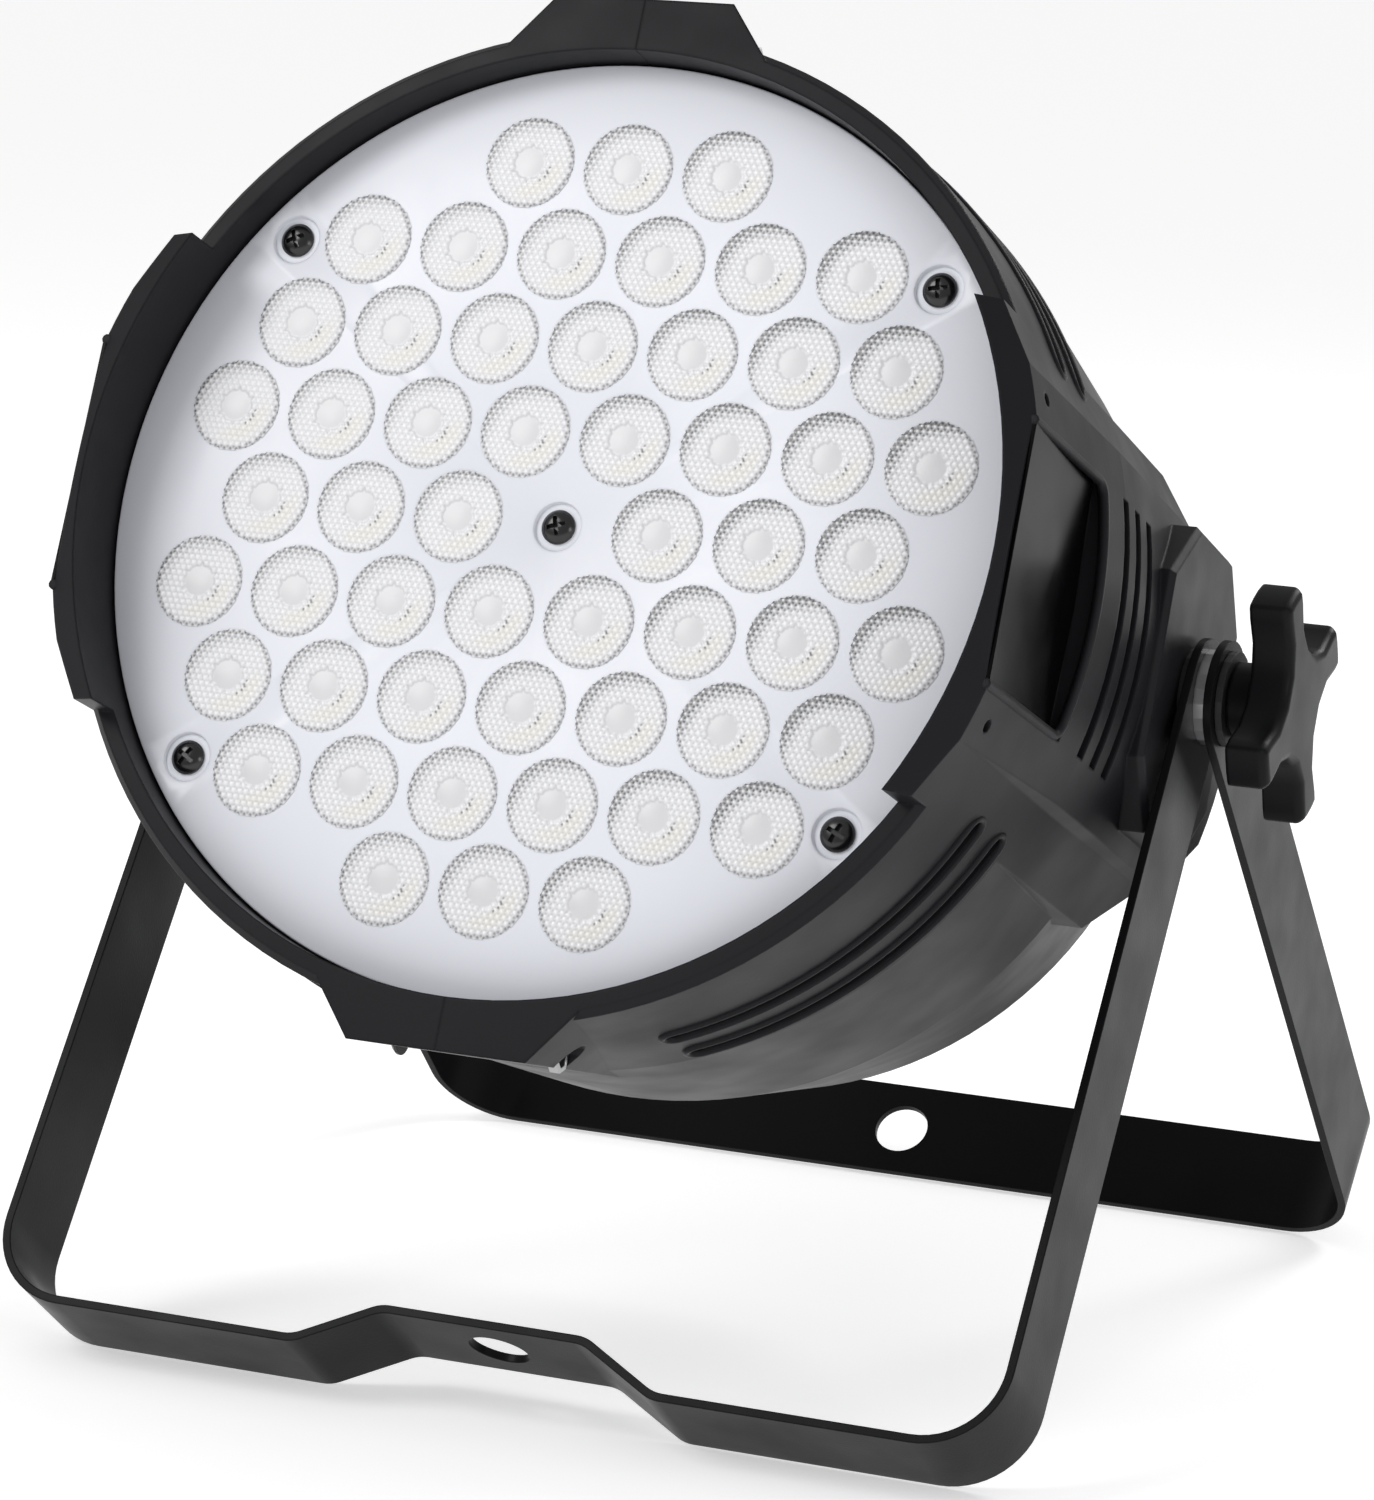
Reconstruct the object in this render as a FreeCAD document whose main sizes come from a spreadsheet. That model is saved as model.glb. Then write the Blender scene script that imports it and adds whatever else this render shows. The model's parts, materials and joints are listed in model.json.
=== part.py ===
"""LED par can on a double bracket: a moulded head in two halves, its lamp and electronics, and two steel brackets.

Millimetres. +Z is up and the lamp shines towards -Y. The origin is on the floor, under the middle of the
whole lamp's box. Head pieces are drawn square, with the middle of the lens plate's face at (0, 0, 0), and
are then tilted about the pivot. Bracket pieces are drawn hanging straight down from the pivot.
"""

import FreeCAD, Part
import math
import os
import re
import Sketcher
from FreeCAD import Placement, Rotation, Vector

SIZES = {
    # stance
    "head_tilt": 23.0,
    "front_lean": 36.4,
    # brackets
    "strap_width": 24.5,
    "strap_thickness": 1.8,
    "bend_radius": 16.0,
    "front_half_width": 113.0,
    "front_length": 175.0,
    "rear_half_width": 117.6,
    "rear_length": 195.8,
    "joggle_height": 9.3,
    "joggle_flat": 22.5,
    "joggle_foot": 40.0,
    "joggle_radius": 8.0,
    "hang_hole": 6.5,
    # pivot hardware
    "pivot_setback": 90.8,
    "stud_radius": 4.0,
    "stud_clearance": 0.3,
    "thread_clearance": 0.05,
    "running_gap": 0.1,
    "washer_radius": 10.0,
    "knob_washer_thickness": 1.5,
    "nut_flats": 13.0,
    "nut_thickness": 6.5,
    "knob_radius": 26.5,
    "knob_thickness": 9.0,
    "knob_scallop": 14.0,
    "knob_waist": 12.0,
    "knob_edge": 1.2,
    "knob_hub_radius": 8.0,
    "knob_hub_length": 5.7,
    "stud_grip": 6.0,
    # housing
    "barrel_radius": 104.0,
    "wall": 2.6,
    "lip_depth": 8.0,
    "lip_bevel": 1.5,
    "taper_start": 40.0,
    "taper_radius": 364.0,
    "taper_end": 150.0,
    "rear_face": 160.0,
    "rear_rim": 82.0,
    "ledge_width": 4.6,
    "plate_gap": 0.4,
    # ears
    "ear_front": 19.0,
    "ear_bevel": 4.0,
    "ear_front_radius": 105.5,
    "ear_back_radius": 108.0,
    "ear_half_height": 38.0,
    "ear_root": 50.0,
    "ear_back": 128.0,
    "ear_cut": 26.0,
    "ear_slope": 9.0,
    "boss_face": 109.5,
    "boss_front": 65.0,
    "boss_back": 117.0,
    "boss_half_height": 33.0,
    "boss_cut": 13.0,
    "boss_skin": 5.5,
    "boss_edge": 1.2,
    # side vents, badge and small holes
    "side_slot_width": 3.6,
    "side_slot_pitch": 8.5,
    "side_slot_start": 40.0,
    "side_slot_half": 27.0,
    "badge_half_height": 27.0,
    "badge_front": 15.5,
    "badge_back": 27.0,
    "badge_floor": 101.6,
    "badge_thickness": 0.8,
    "badge_bow": 2.5,
    "trim_gap": 0.5,
    "pin_hole_depth": 7.5,
    "pin_hole_radius": 1.3,
    "pin_hole_front": 7.0,
    "pin_hole_rise": 33.0,
    "vent_width": 4.2,
    "vent_first": 20.0,
    "vent_pitch": 14.0,
    "vent_angle": 48.0,
    "vent_span": 43.0,
    # grips
    "grip_height": 110.3,
    "grip_half_width": 19.5,
    "grip_half_root": 28.5,
    "grip_back": 96.0,
    "grip_root_depth": 5.0,
    "grip_slope": 8.0,
    "grip_screw_setback": 12.0,
    "grip_skin": 3.0,
    # lens plate and lamp
    "plate_radius": 98.9,
    "plate_thickness": 3.0,
    "lens_radius": 9.9,
    "lens_pitch": 22.0,
    "lens_rise": 0.5,
    "plate_screw_x": 71.5,
    "plate_screw_z": 56.0,
    "screw_well_radius": 5.6,
    "screw_well_depth": 1.2,
    "board_front": 13.5,
    "board_radius": 94.0,
    "board_thickness": 1.6,
    "emitter_size": 3.5,
    "emitter_height": 1.2,
    "sink_radius": 100.8,
    "sink_base": 5.0,
    "sink_depth": 30.0,
    "fin_pitch": 12.0,
    "fin_thickness": 2.0,
    "fin_height": 108.0,
    # rear panel
    "panel_radius": 78.6,
    "panel_front": 155.0,
    "panel_thickness": 2.0,
    "panel_screw_circle": 75.8,
    "fan_width": 60.0,
    "fan_depth": 25.0,
    "fan_bore": 28.3,
    "fan_hub": 14.0,
    "fan_tip_gap": 1.2,
    "fan_screw_pitch": 50.0,
    "fan_pin_radius": 2.0,
    "fan_arm_width": 4.0,
    "fan_arm_depth": 2.0,
    "fan_seat_depth": 3.0,
    "blade_chord": 13.0,
    "blade_pitch": 40.0,
    "blade_thickness": 1.2,
    "grille_inner": 12.0,
    "grille_outer": 26.0,
    "grille_slot": 4.0,
    "display_width": 36.0,
    "display_height": 14.0,
    "display_z": 57.0,
    "display_rise": 0.6,
    "button_radius": 3.4,
    "button_pitch": 14.0,
    "button_z": 39.0,
    "button_gap": 0.2,
    "button_rise": 1.8,
    "button_travel": 0.8,
    "button_collar": 1.2,
    "switch_height": 4.0,
    "xlr_x": 52.0,
    "xlr_z": 0.0,
    "xlr_shell": 11.6,
    "xlr_depth": 20.0,
    "xlr_wall": 2.0,
    "xlr_pin_circle": 5.0,
    "xlr_pin_radius": 1.2,
    "xlr_pin_length": 12.0,
    "flange_thickness": 2.0,
    "flange_corner": 2.5,
    "xlr_flange_width": 26.0,
    "xlr_flange_height": 31.0,
    "iec_x": 17.5,
    "iec_z": -50.0,
    "iec_width": 27.0,
    "iec_height": 19.8,
    "iec_depth": 24.0,
    "iec_wall": 1.6,
    "iec_blade_pitch": 7.0,
    "iec_blade_width": 2.0,
    "iec_blade_length": 15.0,
    "iec_flange_width": 31.0,
    "iec_flange_height": 23.5,
    "fuse_x": 48.0,
    "fuse_z": -36.0,
    "fuse_radius": 6.0,
    "fuse_lip": 1.5,
    "fuse_cap_length": 7.0,
    "fuse_depth": 26.0,
    "screw_radius": 1.5,
    "screw_hole_gap": 0.2,
    "screw_head_radius": 3.0,
    "screw_head_height": 2.0,
    "seam_nut_depth": 2.2,
    # boards inside
    "power_board_gap": 12.0,
    "power_board_width": 120.0,
    "power_board_height": 76.0,
    "power_pillar_rise": 30.0,
    "circuit_thickness": 1.6,
    "capacitor_radius": 9.0,
    "capacitor_length": 24.0,
    "control_board_gap": 11.0,
    "control_board_width": 68.0,
    "control_board_height": 34.0,
    "control_post_x": 30.0,
    "control_post_rise": 9.0,
}

LENS_ROWS = (3, 6, 7, 8, 6, 8, 7, 6, 3)
TAPER_FACETS = 2
VENT_ROWS = 2
SIDE_SLOTS = 3
PANEL_SCREWS = 6
GRILLE_SLOTS = 12
FAN_BLADES = 7
FINS = 13
# Small or hidden round outlines are drawn with this many flats.
SHANK_SIDES = 6
BORE_SIDES = 8
LENS_SIDES = 8
HEAD_SIDES = 12
WASHER_SIDES = 20
DUCT_SIDES = 24
BOARD_SIDES = 48

doc = FreeCAD.newDocument("ParCan")
sheet = doc.addObject("Spreadsheet::Sheet", "Sizes")
WORDS = re.compile(r"[a-z]+(?:_[a-z]+)+|\bwall\b")
NODES = []
X, Y, Z = Vector(1, 0, 0), Vector(0, 1, 0), Vector(0, 0, 1)


def write_sizes():
    """Fill the spreadsheet: a name in column A, its value and alias in column B."""
    for row, (name, value) in enumerate(SIZES.items(), start=1):
        sheet.set("A%d" % row, name)
        sheet.set("B%d" % row, str(value))
        sheet.setAlias("B%d" % row, name)
    doc.recompute()


def formula(text):
    """A formula in size names as a FreeCAD expression in spreadsheet aliases."""
    return WORDS.sub(lambda word: "Sizes." + word.group() if word.group() in SIZES else word.group(), str(text))


def value(text):
    """The present value of a formula."""
    return float(sheet.evalExpression(formula(text)))


def bind(item, **settings):
    """Tie properties to formulas. A double underscore stands for a dot in the property's path."""
    for path, text in settings.items():
        item.setExpression(path.replace("__", "."), formula(text))
    return item


# Formulas that several pieces share.
PIVOT_HEIGHT = "(front_length * cos(front_lean) + strap_width / 2 * sin(front_lean))"
REAR_REACH = "sqrt(rear_length ^ 2 + (strap_width / 2) ^ 2)"
REAR_LEAN = "(atan(strap_width / 2 / rear_length) + acos(%s / %s))" % (PIVOT_HEIGHT, REAR_REACH)
HEAD_FRONT = "((lip_depth + pivot_setback) * cos(head_tilt) + grip_height * sin(head_tilt))"
FOOT_FRONT = "(front_length * sin(front_lean) + strap_width / 2 * cos(front_lean))"
FOOT_BACK = "(rear_length * sin(%s) + strap_width / 2 * cos(%s))" % (REAR_LEAN, REAR_LEAN)
PIVOT_BACK = "((max(%s; %s) - %s) / 2)" % (HEAD_FRONT, FOOT_FRONT, FOOT_BACK)
CAVITY = "(barrel_radius - wall)"
FRONT_INNER = "(front_half_width - strap_thickness)"
REAR_INNER = "(rear_half_width - strap_thickness)"
PANEL_BACK = "(panel_front + panel_thickness)"
BOARD_BACK = "(board_front + board_thickness)"
KNOB_START = "(rear_half_width + 2 * running_gap + knob_washer_thickness)"
NUT_START = "(boss_face - boss_skin - nut_thickness)"
GRIP_SCREW_Z = "((barrel_radius + grip_height - grip_skin) / 2)"
GRIP_SEAT = "(grip_half_width - grip_skin)"

# Where screws go on a face, as pairs of formulas.
PLATE_SCREW_PLACES = [("0", "0")] + [("%d * plate_screw_x" % side, "%d * plate_screw_z" % up)
                                     for side in (1, -1) for up in (1, -1)]
PANEL_SCREW_PLACES = [("panel_screw_circle * cos(%g)" % turn, "panel_screw_circle * sin(%g)" % turn)
                      for turn in (360 / PANEL_SCREWS * k for k in range(PANEL_SCREWS))]
FAN_SCREWS = [("%d * fan_screw_pitch / 2" % side, "%d * fan_screw_pitch / 2" % up)
              for side in (1, -1) for up in (1, -1)]


# ---------------------------------------------------------------- drawing helpers

def body(name):
    """A PartDesign body that becomes one sub-part."""
    item = doc.addObject("PartDesign::Body", name)
    item.Label = name
    return item


def sketch(owner, plane, offset="0", turn=0.0):
    """A sketch on one of the body's origin planes, lifted along the plane's normal and turned about its Y."""
    item = owner.newObject("Sketcher::SketchObject", "Outline")
    support = [face for face in owner.Origin.OriginFeatures if face.Role == plane][0]
    item.AttachmentSupport = [(support, "")]
    item.MapMode = "FlatFace"
    item.AttachmentOffset = Placement(Vector(), Rotation(Vector(0, 1, 0), turn))
    bind(item, AttachmentOffset__Base__z=offset)
    return item


def pin(item, element, point, x, y):
    """Fix a sketch point at formulas measured from the sketch's origin."""
    for kind, text in (("DistanceX", x), ("DistanceY", y)):
        index = item.addConstraint(Sketcher.Constraint(kind, -1, 1, element, point, value(text)))
        item.setExpression("Constraints[%d]" % index, formula(text))


def polygon(item, corners):
    """A closed outline of straight lines through corners given as pairs of formulas."""
    count = len(corners)
    first = item.GeometryCount
    spots = [Vector(value(x), value(y), 0) for x, y in corners]
    item.addGeometry([Part.LineSegment(spots[k], spots[(k + 1) % count]) for k in range(count)], False)
    rules = [Sketcher.Constraint("Coincident", first + k, 2, first + (k + 1) % count, 1) for k in range(count)]
    for k, spot in enumerate(spots):
        rules.append(Sketcher.Constraint("DistanceX", -1, 1, first + k, 1, spot.x))
        rules.append(Sketcher.Constraint("DistanceY", -1, 1, first + k, 1, spot.y))
    row = item.ConstraintCount + count
    item.addConstraint(rules)
    for text in (text for corner in corners for text in corner):
        item.setExpression("Constraints[%d]" % row, formula(text))
        row += 1
    return item


def box_corners(x, y, width, height):
    """The corners of a rectangle about a centre, as formulas."""
    return [("%s + %s * (%s) / 2" % (x, across, width), "%s + %s * (%s) / 2" % (y, up, height))
            for across, up in ((-1, -1), (1, -1), (1, 1), (-1, 1))]


def regular(x, y, apothem, sides):
    """The corners of a regular polygon about a centre, sized by the distance to its flats."""
    reach = "(%s) / cos(%g)" % (apothem, 180 / sides)
    return [("%s + %s * cos(%g)" % (x, reach, turn), "%s + %s * sin(%g)" % (y, reach, turn))
            for turn in (360 / sides * k for k in range(sides))]


def circle(item, x, y, radius):
    """A circle whose centre and radius are formulas."""
    index = item.addGeometry(Part.Circle(Vector(value(x), value(y), 0), Z, value(radius)), False)
    pin(item, index, 3, x, y)
    row = item.addConstraint(Sketcher.Constraint("Radius", index, value(radius)))
    item.setExpression("Constraints[%d]" % row, formula(radius))
    return item


def feature(owner, kind, profile, **settings):
    """A PartDesign feature from a sketch, with its sizes bound and its plain options set."""
    item = owner.newObject("PartDesign::" + kind, kind)
    item.Profile = profile
    for name, value in settings.items():
        if isinstance(value, str) and name in ("Length", "Angle", "Radius"):
            bind(item, **{name: value})
        else:
            setattr(item, name, value)
    profile.Visibility = False
    return item


def pad(owner, profile, length, **options):
    """Material from a sketch, along its normal."""
    return feature(owner, "Pad", profile, Length=length, **options)


def pocket(owner, profile, length, **options):
    """A cut from a sketch, against its normal."""
    return feature(owner, "Pocket", profile, Length=length, **options)


def turned(owner, kind, profile, angle="360", **options):
    """A Revolution or Groove about the sketch's own Y."""
    return feature(owner, kind, profile, ReferenceAxis=(profile, ["V_Axis"]), Angle=angle, **options)


def origin_axis(item, role):
    """A reference to one of a body's own axes, for patterns."""
    return ([axis for axis in item.Origin.OriginFeatures if axis.Role == role][0], [""])


def patterned(owner, kind, original, role, reach, count):
    """Repeat a feature round an axis or along it, and make the pattern the body's result."""
    item = owner.newObject("PartDesign::" + kind, "Pattern")
    item.Originals = [original]
    if kind == "PolarPattern":
        item.Axis = origin_axis(owner, role)
        item.Angle = reach
    else:
        item.Direction = origin_axis(owner, role)
        bind(item, Length=reach)
    item.Occurrences = count
    owner.Tip = item
    return item


def edges(item, test):
    """Names of the edges whose middle point and direction pass a test."""
    names = []
    for number, edge in enumerate(item.Shape.Edges, start=1):
        middle = edge.valueAt((edge.FirstParameter + edge.LastParameter) / 2)
        if test(edge, middle):
            names.append("Edge%d" % number)
    return names


def rounded(owner, base, test, radius):
    """Fillet the edges of a feature that pass a test."""
    doc.recompute()
    item = owner.newObject("PartDesign::Fillet", "Fillet")
    item.Base = (base, edges(base, test))
    bind(item, Radius=radius)
    return item


def bevelled(owner, base, test, size):
    """Chamfer the edges of a feature that pass a test."""
    doc.recompute()
    item = owner.newObject("PartDesign::Chamfer", "Chamfer")
    item.Base = (base, edges(base, test))
    bind(item, Size=size)
    return item


def along(edge, axis):
    """Whether a straight edge runs along an axis."""
    return edge.Curve.TypeId == "Part::GeomLine" and abs(abs(edge.Curve.Direction.dot(axis)) - 1) < 1e-6


def primitive(kind, name, at=("0", "0", "0"), facing=None, sides=None, **sizes):
    """A Part primitive with bound sizes and position, its own axis turned to face a direction."""
    item = doc.addObject("Part::" + kind, name)
    if sides:
        item.Polygon = sides
    if facing is not None:
        item.Placement = Placement(Vector(), Rotation(Z, facing))
    bind(item, **sizes)
    bind(item, Placement__Base__x=at[0], Placement__Base__y=at[1], Placement__Base__z=at[2])
    return item


def joined(name, items, kind="Part::MultiFuse"):
    """Several shapes as one fused piece, or as a group of separate solids."""
    item = doc.addObject(kind, name)
    if kind == "Part::Compound":
        item.Links = items
    else:
        item.Shapes = items
    return item


def cut(name, base, tool):
    """One shape with another taken out of it."""
    item = doc.addObject("Part::Cut", name)
    item.Base = base
    item.Tool = tool
    return item


def node(item, name, place):
    """Name a finished sub-part and bind its place: on the head, or on the front or rear bracket."""
    item.Label = name
    place(item)
    NODES.append(item)
    return item


def on_head(item):
    """Tilt a head piece about the pivot and stand it at the pivot's height."""
    item.Placement = Placement(Vector(), Rotation(X, -1.0))
    bind(item, Placement__Rotation__Angle="0 - head_tilt",
         Placement__Base__y=PIVOT_BACK + " - pivot_setback * cos(head_tilt)",
         Placement__Base__z=PIVOT_HEIGHT + " + pivot_setback * sin(head_tilt)")


def on_front_bracket(item):
    """Lean a front bracket piece about the pivot until its feet reach the floor."""
    item.Placement = Placement(Vector(), Rotation(X, -1.0))
    bind(item, Placement__Rotation__Angle="0 - front_lean", Placement__Base__y=PIVOT_BACK,
         Placement__Base__z=PIVOT_HEIGHT)


def on_rear_bracket(item):
    """Lean a rear bracket piece the other way, until its crossbar reaches the floor."""
    item.Placement = Placement(Vector(), Rotation(X, 1.0))
    bind(item, Placement__Rotation__Angle=REAR_LEAN, Placement__Base__y=PIVOT_BACK,
         Placement__Base__z=PIVOT_HEIGHT)


def mirrored(item, name):
    """The left-hand twin of a placed right-hand piece."""
    twin = doc.addObject("Part::Mirroring", name)
    twin.Source = item
    twin.Normal = X
    twin.Label = name
    NODES.append(twin)
    return twin


# ---------------------------------------------------------------- brackets

def bracket(name, half_width, length, joggle=None):
    """A bent steel strap: two legs with round tops, and a crossbar with one hanging hole."""
    item = body(name)
    inner = "(%s - strap_thickness)" % half_width
    floor = "(0 - %s)" % length
    corners = [(half_width, "0"), (half_width, floor)]
    back = [(inner, "0"), (inner, floor + " + strap_thickness")]
    if joggle:
        shift = "strap_thickness * tan(atan(joggle_height / (joggle_foot - joggle_flat)) / 2)"
        corners += [("joggle_foot", floor), ("joggle_flat", floor + " + joggle_height")]
        back += [("joggle_foot + " + shift, floor + " + strap_thickness"),
                 ("joggle_flat + " + shift, floor + " + joggle_height + strap_thickness")]
    left = [("0 - (%s)" % x, z) for x, z in reversed(corners)]
    left_back = [("0 - (%s)" % x, z) for x, z in reversed(back)]
    outline = polygon(sketch(item, "XZ_Plane"), corners + left + list(reversed(left_back)) + list(reversed(back)))
    strap = pad(item, outline, "strap_width", Midplane=True)
    inner_x, floor_z, thickness = value(inner), value(floor), value("strap_thickness")

    def inside_corner(edge, middle):
        return along(edge, Y) and abs(abs(middle.x) - inner_x) < 0.01 and abs(middle.z - floor_z - thickness) < 0.01

    def outside_corner(edge, middle):
        return along(edge, Y) and abs(abs(middle.x) - value(half_width)) < 0.01 and abs(middle.z - floor_z) < 0.01

    def joggle_bend(edge, middle):
        return along(edge, Y) and abs(middle.x) < value("joggle_foot") + thickness and middle.z < floor_z / 2

    bent = rounded(item, strap, inside_corner, "bend_radius")
    bent = rounded(item, bent, outside_corner, "bend_radius + strap_thickness")
    if joggle:
        bent = rounded(item, bent, joggle_bend, "joggle_radius")
    for side in (1, -1):
        start = inner if side == 1 else "(0 - %s)" % half_width
        top = circle(sketch(item, "YZ_Plane", start), "0", "0", "strap_width / 2")
        pad(item, top, "strap_thickness")
    doc.recompute()
    pivot = circle(sketch(item, "YZ_Plane"), "0", "0", "stud_radius + stud_clearance")
    pocket(item, pivot, "2 * %s + 2" % half_width, Midplane=True)
    hang = circle(sketch(item, "XY_Plane", floor + " - 1"), "0", "0", "hang_hole")
    pocket(item, hang, "joggle_height + 2 * strap_thickness + 2", Reversed=True)
    return item


def washer(name, start, thickness, bore="stud_radius + stud_clearance"):
    """A flat ring round the pivot on the right-hand side, from one distance off the middle outwards."""
    item = body(name)
    ring = sketch(item, "YZ_Plane", start)
    polygon(ring, regular("0", "0", "washer_radius", WASHER_SIDES))
    polygon(ring, regular("0", "0", bore, HEAD_SIDES))
    pad(item, ring, thickness)
    return item


def knob_outline():
    """Corners round a disc with four scallops, whose lobes are cut off a little at each side."""
    reach = "(knob_waist + knob_scallop)"
    edge = "acos((knob_radius ^ 2 + %s ^ 2 - knob_scallop ^ 2) / (2 * knob_radius * %s))" % (reach, reach)
    swing = "acos((knob_scallop ^ 2 + %s ^ 2 - knob_radius ^ 2) / (2 * knob_scallop * %s))" % (reach, reach)
    corners = []
    for turn in range(0, 360, 90):
        for step in (-5, -3, -1, 1, 3, 5):
            angle = "(%d deg + %d / 6 * %s)" % (turn + 180, -step, swing)
            corners.append(("%s * cos(%d) + knob_scallop * cos(%s)" % (reach, turn, angle),
                            "%s * sin(%d) + knob_scallop * sin(%s)" % (reach, turn, angle)))
        for step in (-3, -1, 1, 3):
            angle = "(%d deg + %d / 4 * (45 deg - %s))" % (turn + 45, step, edge)
            corners.append(("knob_radius * cos(%s)" % angle, "knob_radius * sin(%s)" % angle))
    return corners


def knob():
    """A four-lobed hand knob: a scalloped disc on a short hub, bored for its stud."""
    item = body("knob_right")
    face = KNOB_START + " + knob_hub_length"
    outer = value(face + " + knob_thickness")

    def rim(edge, middle):
        return abs(edge.BoundBox.XMin - outer) < 0.01 and edge.BoundBox.XLength < 0.01

    disc = pad(item, polygon(sketch(item, "YZ_Plane", face), knob_outline()), "knob_thickness")
    bevelled(item, disc, rim, "knob_edge")
    hub = polygon(sketch(item, "YZ_Plane", KNOB_START), regular("0", "0", "knob_hub_radius", HEAD_SIDES))
    pad(item, hub, "knob_hub_length + 1")
    doc.recompute()
    bore = polygon(sketch(item, "YZ_Plane", KNOB_START + " - 1"),
                   regular("0", "0", "stud_radius + thread_clearance", HEAD_SIDES))
    pocket(item, bore, "knob_hub_length + stud_grip + 1", Reversed=True)
    return item


def on_pivot(item):
    """Pivot hardware keeps the pivot as its own origin and turns with the head."""
    item.Placement = Placement(Vector(), Rotation(X, -1.0))
    bind(item, Placement__Rotation__Angle="0 - head_tilt", Placement__Base__y=PIVOT_BACK,
         Placement__Base__z=PIVOT_HEIGHT)


def nut(name):
    """A hexagon nut with a tapped bore, standing on edge behind the boss."""
    item = body(name)
    hexagon = sketch(item, "YZ_Plane", NUT_START)
    polygon(hexagon, regular("0", "0", "nut_flats / 2", 6))
    polygon(hexagon, regular("0", "0", "stud_radius + thread_clearance", HEAD_SIDES))
    pad(item, hexagon, "nut_thickness")
    return item


def build_brackets():
    """The two bent straps and the spacers between their legs."""
    node(bracket("front_yoke", "front_half_width", "front_length", joggle=True), "front_yoke", on_front_bracket)
    node(bracket("rear_yoke", "rear_half_width", "rear_length"), "rear_yoke", on_rear_bracket)
    spacer = washer("yoke_washer_right", "front_half_width", REAR_INNER + " - front_half_width - running_gap")
    mirrored(node(spacer, "yoke_washer_right", on_front_bracket), "yoke_washer_left")


def build_pivots():
    """On each side: friction washer, captive nut, stud, loose washer and hand knob."""
    friction = washer("ear_washer_right", "boss_face", FRONT_INNER + " - boss_face - running_gap")
    mirrored(node(friction, "ear_washer_right", on_pivot), "ear_washer_left")
    outer = washer("knob_washer_right", "rear_half_width + running_gap", "knob_washer_thickness",
                   bore="stud_radius + thread_clearance")
    mirrored(node(outer, "knob_washer_right", on_pivot), "knob_washer_left")
    mirrored(node(nut("pivot_nut_right"), "pivot_nut_right", on_pivot), "pivot_nut_left")
    mirrored(node(knob(), "knob_right", on_pivot), "knob_left")
    stud = body("knob_stud_right")
    pad(stud, circle(sketch(stud, "YZ_Plane", NUT_START), "0", "0", "stud_radius"),
        "%s + knob_hub_length + stud_grip - %s" % (KNOB_START, NUT_START))
    mirrored(node(stud, "knob_stud_right", on_pivot), "knob_stud_left")


# ---------------------------------------------------------------- housing

def taper():
    """Outline corners along the barrel's taper, on an arc that starts level with the straight wall."""
    corners = []
    for step in range(TAPER_FACETS + 1):
        run = "(taper_end - taper_start) * %d / %d" % (step, TAPER_FACETS)
        corners.append(("barrel_radius - taper_radius + sqrt(taper_radius ^ 2 - (%s) ^ 2)" % run,
                        "taper_start + " + run))
    return corners


def barrel_outline(item):
    """The solid barrel's half section: lip, straight wall, long taper and flat rear."""
    corners = [("0", "0 - lip_depth"), ("barrel_radius - lip_bevel", "0 - lip_depth"),
               ("barrel_radius", "lip_bevel - lip_depth")]
    corners += taper()
    corners += [("rear_rim", "rear_face"), ("0", "rear_face")]
    return polygon(item, corners)


def cavity_outline(item):
    """The space inside the barrel: the lens plate's recess, its seat ring, the taper and the rear panel's seat.

    The seat ring's back is also the stop for the heat sink, so the plate screws clamp plate, ring and sink.
    The wall behind it is straight inside, and so thickest in the middle of the taper.
    """
    ring = CAVITY + " - ledge_width"
    inlet = "panel_radius - 2 * ledge_width"
    corners = [("0", "0 - 2 * ear_front"), ("plate_radius + plate_gap", "0 - 2 * ear_front"),
               ("plate_radius + plate_gap", "plate_thickness"), (ring, "plate_thickness"), (ring, BOARD_BACK),
               (CAVITY, BOARD_BACK)]
    first, last = taper()[0], taper()[-1]
    corners += [(first[0] + " - wall", first[1]), (last[0] + " - wall", last[1])]
    corners += [(inlet, "panel_front - wall"), (inlet, "panel_front"), ("panel_radius + plate_gap", "panel_front"),
                ("panel_radius + plate_gap", "rear_face + wall"), ("0", "rear_face + wall")]
    return polygon(item, corners)


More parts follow.
